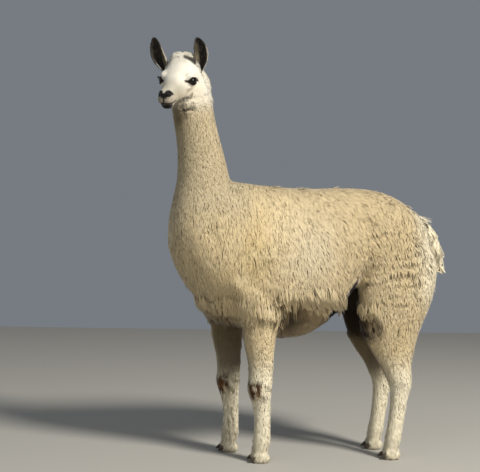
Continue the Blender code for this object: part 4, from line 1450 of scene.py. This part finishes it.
# Coarse dark hair, smoother than the coat, so that it catches a little light.
lash_hair = coat_material("dark_lash_hair", roughness=0.5, sheen=0.0, grain=0.002, depth=0.0001)
for name, side in (("left", 1), ("right", -1)):
    draw = np.random.default_rng(80 + side)
    gaze, nose, up = eye_frame(side)
    centre = np.array(EYE_IN_HEAD) * (1, side, 1)
    margin = (margins[side] - centre) / EYEBALL
    upper = margin[2:88]
    lower = margin[92:178]
    line, facing = [], []
    for rim, many, long, droop in ((upper, 170, 0.017, -0.35), (lower, 70, 0.006, 0.0)):
        for _ in range(many):
            root = rim[draw.integers(len(rim))] * (EYEBALL + 0.0015)
            out = root / np.linalg.norm(root)
            length = long * draw.uniform(0.6, 1.1)
            first_half = out * 0.85 + gaze * 0.2 + draw.normal(0, 0.10, 3)
            bend = root + first_half * length * 0.5
            last_half = out * 0.45 + gaze * 0.4 + up * droop + draw.normal(0, 0.1, 3)
            line.append((root - out * 0.001, bend, bend + last_half * length * 0.5))
            facing.append((up, up, up))
    line = out_of_head(centre + np.array(line).reshape(-1, 3)).reshape(-1, 3, 3)
    facing = (np.array(facing).reshape(-1, 3) @ np.array(head_turned).T).reshape(-1, 3, 3)
    count = len(line)
    corners = 7  # a blade's corners: two rings of three and its point
    dark = np.repeat(linear(LID_DARK)[None, None, :], count, axis=0).repeat(corners, axis=1)
    rows, columns = np.divmod(np.arange(count), LASHES_A_ROW)
    patches = np.stack((columns, rows), 1) * PATCH * 2 + PATCH
    widths = np.full(count, LASH_WIDTH)
    lashes = blades("lashes_" + name, line, facing, widths, dark, patches, 0.8, 0.3, draw)
    lashes.data.materials.append(lash_hair)

# --- the ears ----------------------------------------------------------------------------------------
# Long banana-shaped ears of thin gristle, open to the front. Nearly black inside, with a strip of
# grey-tan hair along the inner side and a pale fringe on the outer rim.
EAR_VOXEL = 0.0013
EAR_TURN = {"left": math.radians(10), "right": math.radians(5)}  # how far they open sideways
EAR_LENGTH = {"left": 0.925, "right": 1.0}  # against the plain ear, which the tip's hair lengthens
EAR_WIDER = 0.07
EAR_HALF_WIDTH = 0.030
STEM_NARROWER = 0.45  # the root narrows to a stem, which runs down and inwards into the skull
STEM_SUNK = 0.030
STEM_INWARDS = 0.16
SKULL_UNDER_EARS = (-0.07, 0, 0.03)  # in the head's frame
EAR_BLACK = "1B1512"
EAR_STRIP = "585040"
EAR_STRIP_LOW = "93866F"
EAR_BACK = "5A5046"
EAR_FRINGE = "B5AA97"


def painted_ear(points, inner, up_ear, cross, side):
    """The ear's colours, by how much each point looks into the ear, how far up it lies, and how far
    across: from -1 at the crown's side to 1 at the outer rim."""
    colours = np.repeat(linear(EAR_BACK)[None, :], len(points), axis=0)
    colours = mixed(colours, FACE_WHITE, ramp(up_ear, 0.22, 0.04))
    colours = mixed(colours, EAR_BLACK, inner * ramp(up_ear, -0.02, 0.06))
    colours = mixed(colours, EAR_BLACK, 0.8 * ramp(up_ear, 0.80, 0.95))
    strip = inner * ramp(cross, -0.10, -0.45) * ramp(up_ear, 0.92, 0.75)
    colours = mixed(colours, EAR_STRIP, strip * (0.75 + 0.25 * swell(points, 0.01, 41)))
    low_strip = strip * ramp(up_ear, 0.60, 0.30) * (0.6 + 0.4 * swell(points, 0.01, 42))
    colours = mixed(colours, EAR_STRIP_LOW, low_strip)
    speckle = inner * ramp(swell(points, 0.009, 43), 0.10, 0.55) * ramp(up_ear, 0.05, 0.25)
    colours = mixed(colours, EAR_STRIP, 0.55 * speckle)
    if side > 0:
        rim = ramp(cross, 0.86, 0.98) * ramp(up_ear, 0.85, 0.6)
    else:
        rim = ramp(cross, -0.62, -0.86) * ramp(up_ear, 0.80, 0.5)
    return mixed(colours, EAR_FRINGE, rim)


# Short dark hair over gristle: matt, with a faint sheen along the rims.
ear_fur = coat_material("ear_hair", roughness=0.8, sheen=0.15, grain=0.002, depth=0.0004)
for name, side in (("left", 1), ("right", -1)):
    ear = welded_copy("ear_" + name)
    ear.name = ear.data.name = "ear_of_" + name
    fused(ear, EAR_VOXEL)
    reshaped(ear, 5)

    # the ear's own ways: up along it, out of its opening, and across it away from the crown
    points = points_of(ear.data)
    tip = points[points[:, 2].argmax()]
    base = points[points[:, 2] < points[:, 2].min() + 0.012].mean(0)
    length = np.linalg.norm(tip - base)
    axis = (tip - base) / length
    left = np.array(Vector((0, 0, 1)).cross(ahead))
    opening = np.array(ahead) * math.cos(EAR_TURN[name]) + left * side * math.sin(EAR_TURN[name])
    opening -= axis * (opening @ axis)
    opening /= np.linalg.norm(opening)
    outwards = np.cross(axis, opening) * side
    outwards *= np.sign(outwards @ (left * side))
    points = points + axis * ((EAR_LENGTH[name] - 1) * ((points - base) @ axis))[:, None]
    points = points + outwards * (EAR_WIDER * ((points - base) @ outwards))[:, None]
    length *= EAR_LENGTH[name]

    def ear_places(points):
        """How far up the ear each point lies, from 0 to 1, and how far across it, in metres."""
        gap = points - base
        return gap @ axis / length, gap @ outwards

    up_ear, across_ear = ear_places(points)
    sink = ramp(up_ear, 0.14, -0.02)
    middle_line = base + axis * (up_ear * length)[:, None]
    points = points + (middle_line - points) * (STEM_NARROWER * sink)[:, None]
    points = points - axis * (STEM_SUNK * sink)[:, None]
    to_skull = out_of_head(np.array([SKULL_UNDER_EARS]))[0] - base
    points = points + to_skull * (STEM_INWARDS * sink)[:, None]
    set_points(ear.data, points)
    inner = ramp(normals_of(ear.data) @ opening, 0.05, 0.45)
    give_colour(ear.data, painted_ear(points, inner, up_ear, across_ear / EAR_HALF_WIDTH, side))
    ear.data.materials.clear()
    ear.data.materials.append(ear_fur)
    only(ear)
    bpy.ops.object.shade_smooth()
    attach(ear, "root")
    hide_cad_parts("ear_" + name)
    keep_field(ear.data, "inside", inner)
    ear_ground = ground_of(ear, ("inside",))
    up_at, across_at = ear_places(ear_ground.centres)
    inside_at = on_triangles(ear_ground, "inside")

    def up_the_ear(roots, draw):
        """Towards the tip, fanning out to both rims."""
        across = ear_places(roots.places)[1]
        ways = axis + outwards * (across * 6)[:, None] + opening * (roots.inside * 0.25)[:, None]
        return unit(ways + draw.normal(0, 0.12, ways.shape))

    grow(
        "ear_fur_" + name, ear_ground, (inside_at < 0.5) & (up_at > 0.0), 90 + side, spacing=0.0026,
        lengths=0.009, widths=0.0016, heights=0.0015, ways=up_the_ear, material=ear_fur,
        every=6, pull=0.3, contrast=0.06,
    )
    crown_side = (inside_at > 0.5) & (across_at < -0.002) & (up_at > 0.02)
    grow(
        "ear_lining_" + name, ear_ground, crown_side, 93 + side, spacing=0.0032,
        lengths=0.015, widths=0.0016, heights=0.003, ways=up_the_ear, material=ear_fur,
        fall=0.5, every=8, pull=0.3, contrast=0.12,
    )

# --- the toenails ------------------------------------------------------------------------------------
# Two dark curved nails to each foot, one at the end of each toe: smooth horn, streaked and worn.
HORN_DARK = "2A221C"
HORN_PALE = "5A4C3E"
HORN_STREAK = 0.001 / 0.26  # from one dark streak to the next: not quite 4 mm
HORN_WEAR = 0.0004  # how deep its scratches are
# Worn horn: a low gloss in soft patches, with darker and paler streaks.
horn, tree = new_material("nail_horn")
place = add_node(tree, "ShaderNodeTexCoord")
streaks = add_node(
    tree, "ShaderNodeTexNoise", {"Scale": 1 / HORN_STREAK, "Detail": 2.0},
    {"Vector": place.outputs["Object"]},
)
tone = add_node(tree, "ShaderNodeValToRGB", {}, {"Fac": streaks.outputs["Fac"]})
tone.color_ramp.elements[0].color = (*linear(HORN_DARK), 1)
tone.color_ramp.elements[1].color = (*linear(HORN_PALE), 1)
worn = add_node(
    tree, "ShaderNodeBump", {"Strength": 0.4, "Distance": HORN_WEAR}, {"Height": streaks.outputs["Fac"]}
)
horn_shader = add_node(
    tree, "ShaderNodeBsdfPrincipled", {"Roughness": 0.42},
    {"Base Color": tone.outputs["Color"], "Normal": worn.outputs["Normal"]},
)
add_node(tree, "ShaderNodeOutputMaterial", {}, {"Surface": horn_shader.outputs["BSDF"]})
for node in sorted(frame["nodes"]):
    if node.startswith("nail_"):
        nail = welded_copy(node)
        nail.name = nail.data.name = "toe" + node
        smooth = nail.modifiers.new("smooth", "SUBSURF")
        smooth.levels = smooth.render_levels = 2
        only(nail)
        bpy.ops.object.modifier_apply(modifier=smooth.name)
        bpy.ops.object.shade_smooth()
        nail.data.materials.clear()
        nail.data.materials.append(horn)
        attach(nail, "root")
        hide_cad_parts(node)

# --- floor, light and camera ---------------------------------------------------------------------------
# A plain pale studio floor with a soft key light high on the animal's tail side, and a wide dim fill.
FLOOR_GREY = "B2AEA6"
STUDIO_AIR = "B4BCC4"
AIR_LIGHT = 0.40
bpy.ops.mesh.primitive_plane_add(size=14)
floor = bpy.context.object
floor.name = "floor"
# Matt studio paint: it takes the shadow and gives no reflection.
floor_paint, tree = new_material("studio_floor")
matte = add_node(
    tree, "ShaderNodeBsdfPrincipled", {"Base Color": (*linear(FLOOR_GREY), 1), "Roughness": 0.9}
)
add_node(tree, "ShaderNodeOutputMaterial", {}, {"Surface": matte.outputs["BSDF"]})
floor.data.materials.append(floor_paint)

world = bpy.data.worlds.new("studio")
world.use_nodes = True
air = world.node_tree.nodes["Background"]
air.inputs["Color"].default_value = (*linear(STUDIO_AIR), 1)
air.inputs["Strength"].default_value = AIR_LIGHT
bpy.context.scene.world = world

CAMERA_SIDE = math.radians(75)  # how far round the camera stands from straight ahead
CAMERA_AWAY = 4.2
CAMERA_TO_LEFT = 0.269
CAMERA_HEIGHT = 0.872
PITCH = math.radians(1.346)
ROLL = math.radians(2.0)
FRAME_SHIFT = Vector((-0.0004, -0.0031, 0.0))
LIGHTS_LOOK_AT = Vector((0, 0, 0.9))
to_camera = Vector((math.sin(CAMERA_SIDE), -math.cos(CAMERA_SIDE), 0))
to_right = Vector((math.cos(CAMERA_SIDE), math.sin(CAMERA_SIDE), 0))


def soft_light(name, towards, distance, size, power, colour):
    """A round soft lamp that stands this way and this far from the animal's middle."""
    lamp = bpy.data.lights.new(name, "AREA")
    lamp.shape = "DISK"
    lamp.size = size
    lamp.energy = power
    lamp.color = colour
    held = bpy.data.objects.new(name, lamp)
    bpy.context.scene.collection.objects.link(held)
    held.location = LIGHTS_LOOK_AT + towards.normalized() * distance
    held.rotation_euler = towards.to_track_quat("Z", "Y").to_euler()


key_way = to_right * 0.74 + to_camera * 0.76 + Vector((0, 0, 0.82))
fill_way = to_camera - to_right * 0.5 + Vector((0, 0, 0.9))
soft_light("key", key_way, distance=9.0, size=2.4, power=1060, colour=(1.0, 0.965, 0.90))
soft_light("fill", fill_way, distance=5.0, size=3.0, power=26, colour=(0.92, 0.96, 1.0))

camera_at = FRAME_SHIFT + to_camera * CAMERA_AWAY - to_right * CAMERA_TO_LEFT
camera_at += Vector((0, 0, CAMERA_HEIGHT))
forward = -to_camera * math.cos(PITCH) + Vector((0, 0, 1)) * math.sin(PITCH)
level_up = to_right.cross(forward)
rolled_right = to_right * math.cos(ROLL) + level_up * math.sin(ROLL)
rolled_up = level_up * math.cos(ROLL) - to_right * math.sin(ROLL)
lens = bpy.data.cameras.new("camera")
lens.lens = 70.2
lens.sensor_width = 36
camera = bpy.data.objects.new("camera", lens)
bpy.context.scene.collection.objects.link(camera)
camera_turned = Matrix((rolled_right, rolled_up, -forward)).transposed()
camera.matrix_world = Matrix.Translation(camera_at) @ camera_turned.to_4x4()
bpy.context.scene.camera = camera
bpy.context.scene.view_settings.view_transform = "Standard"
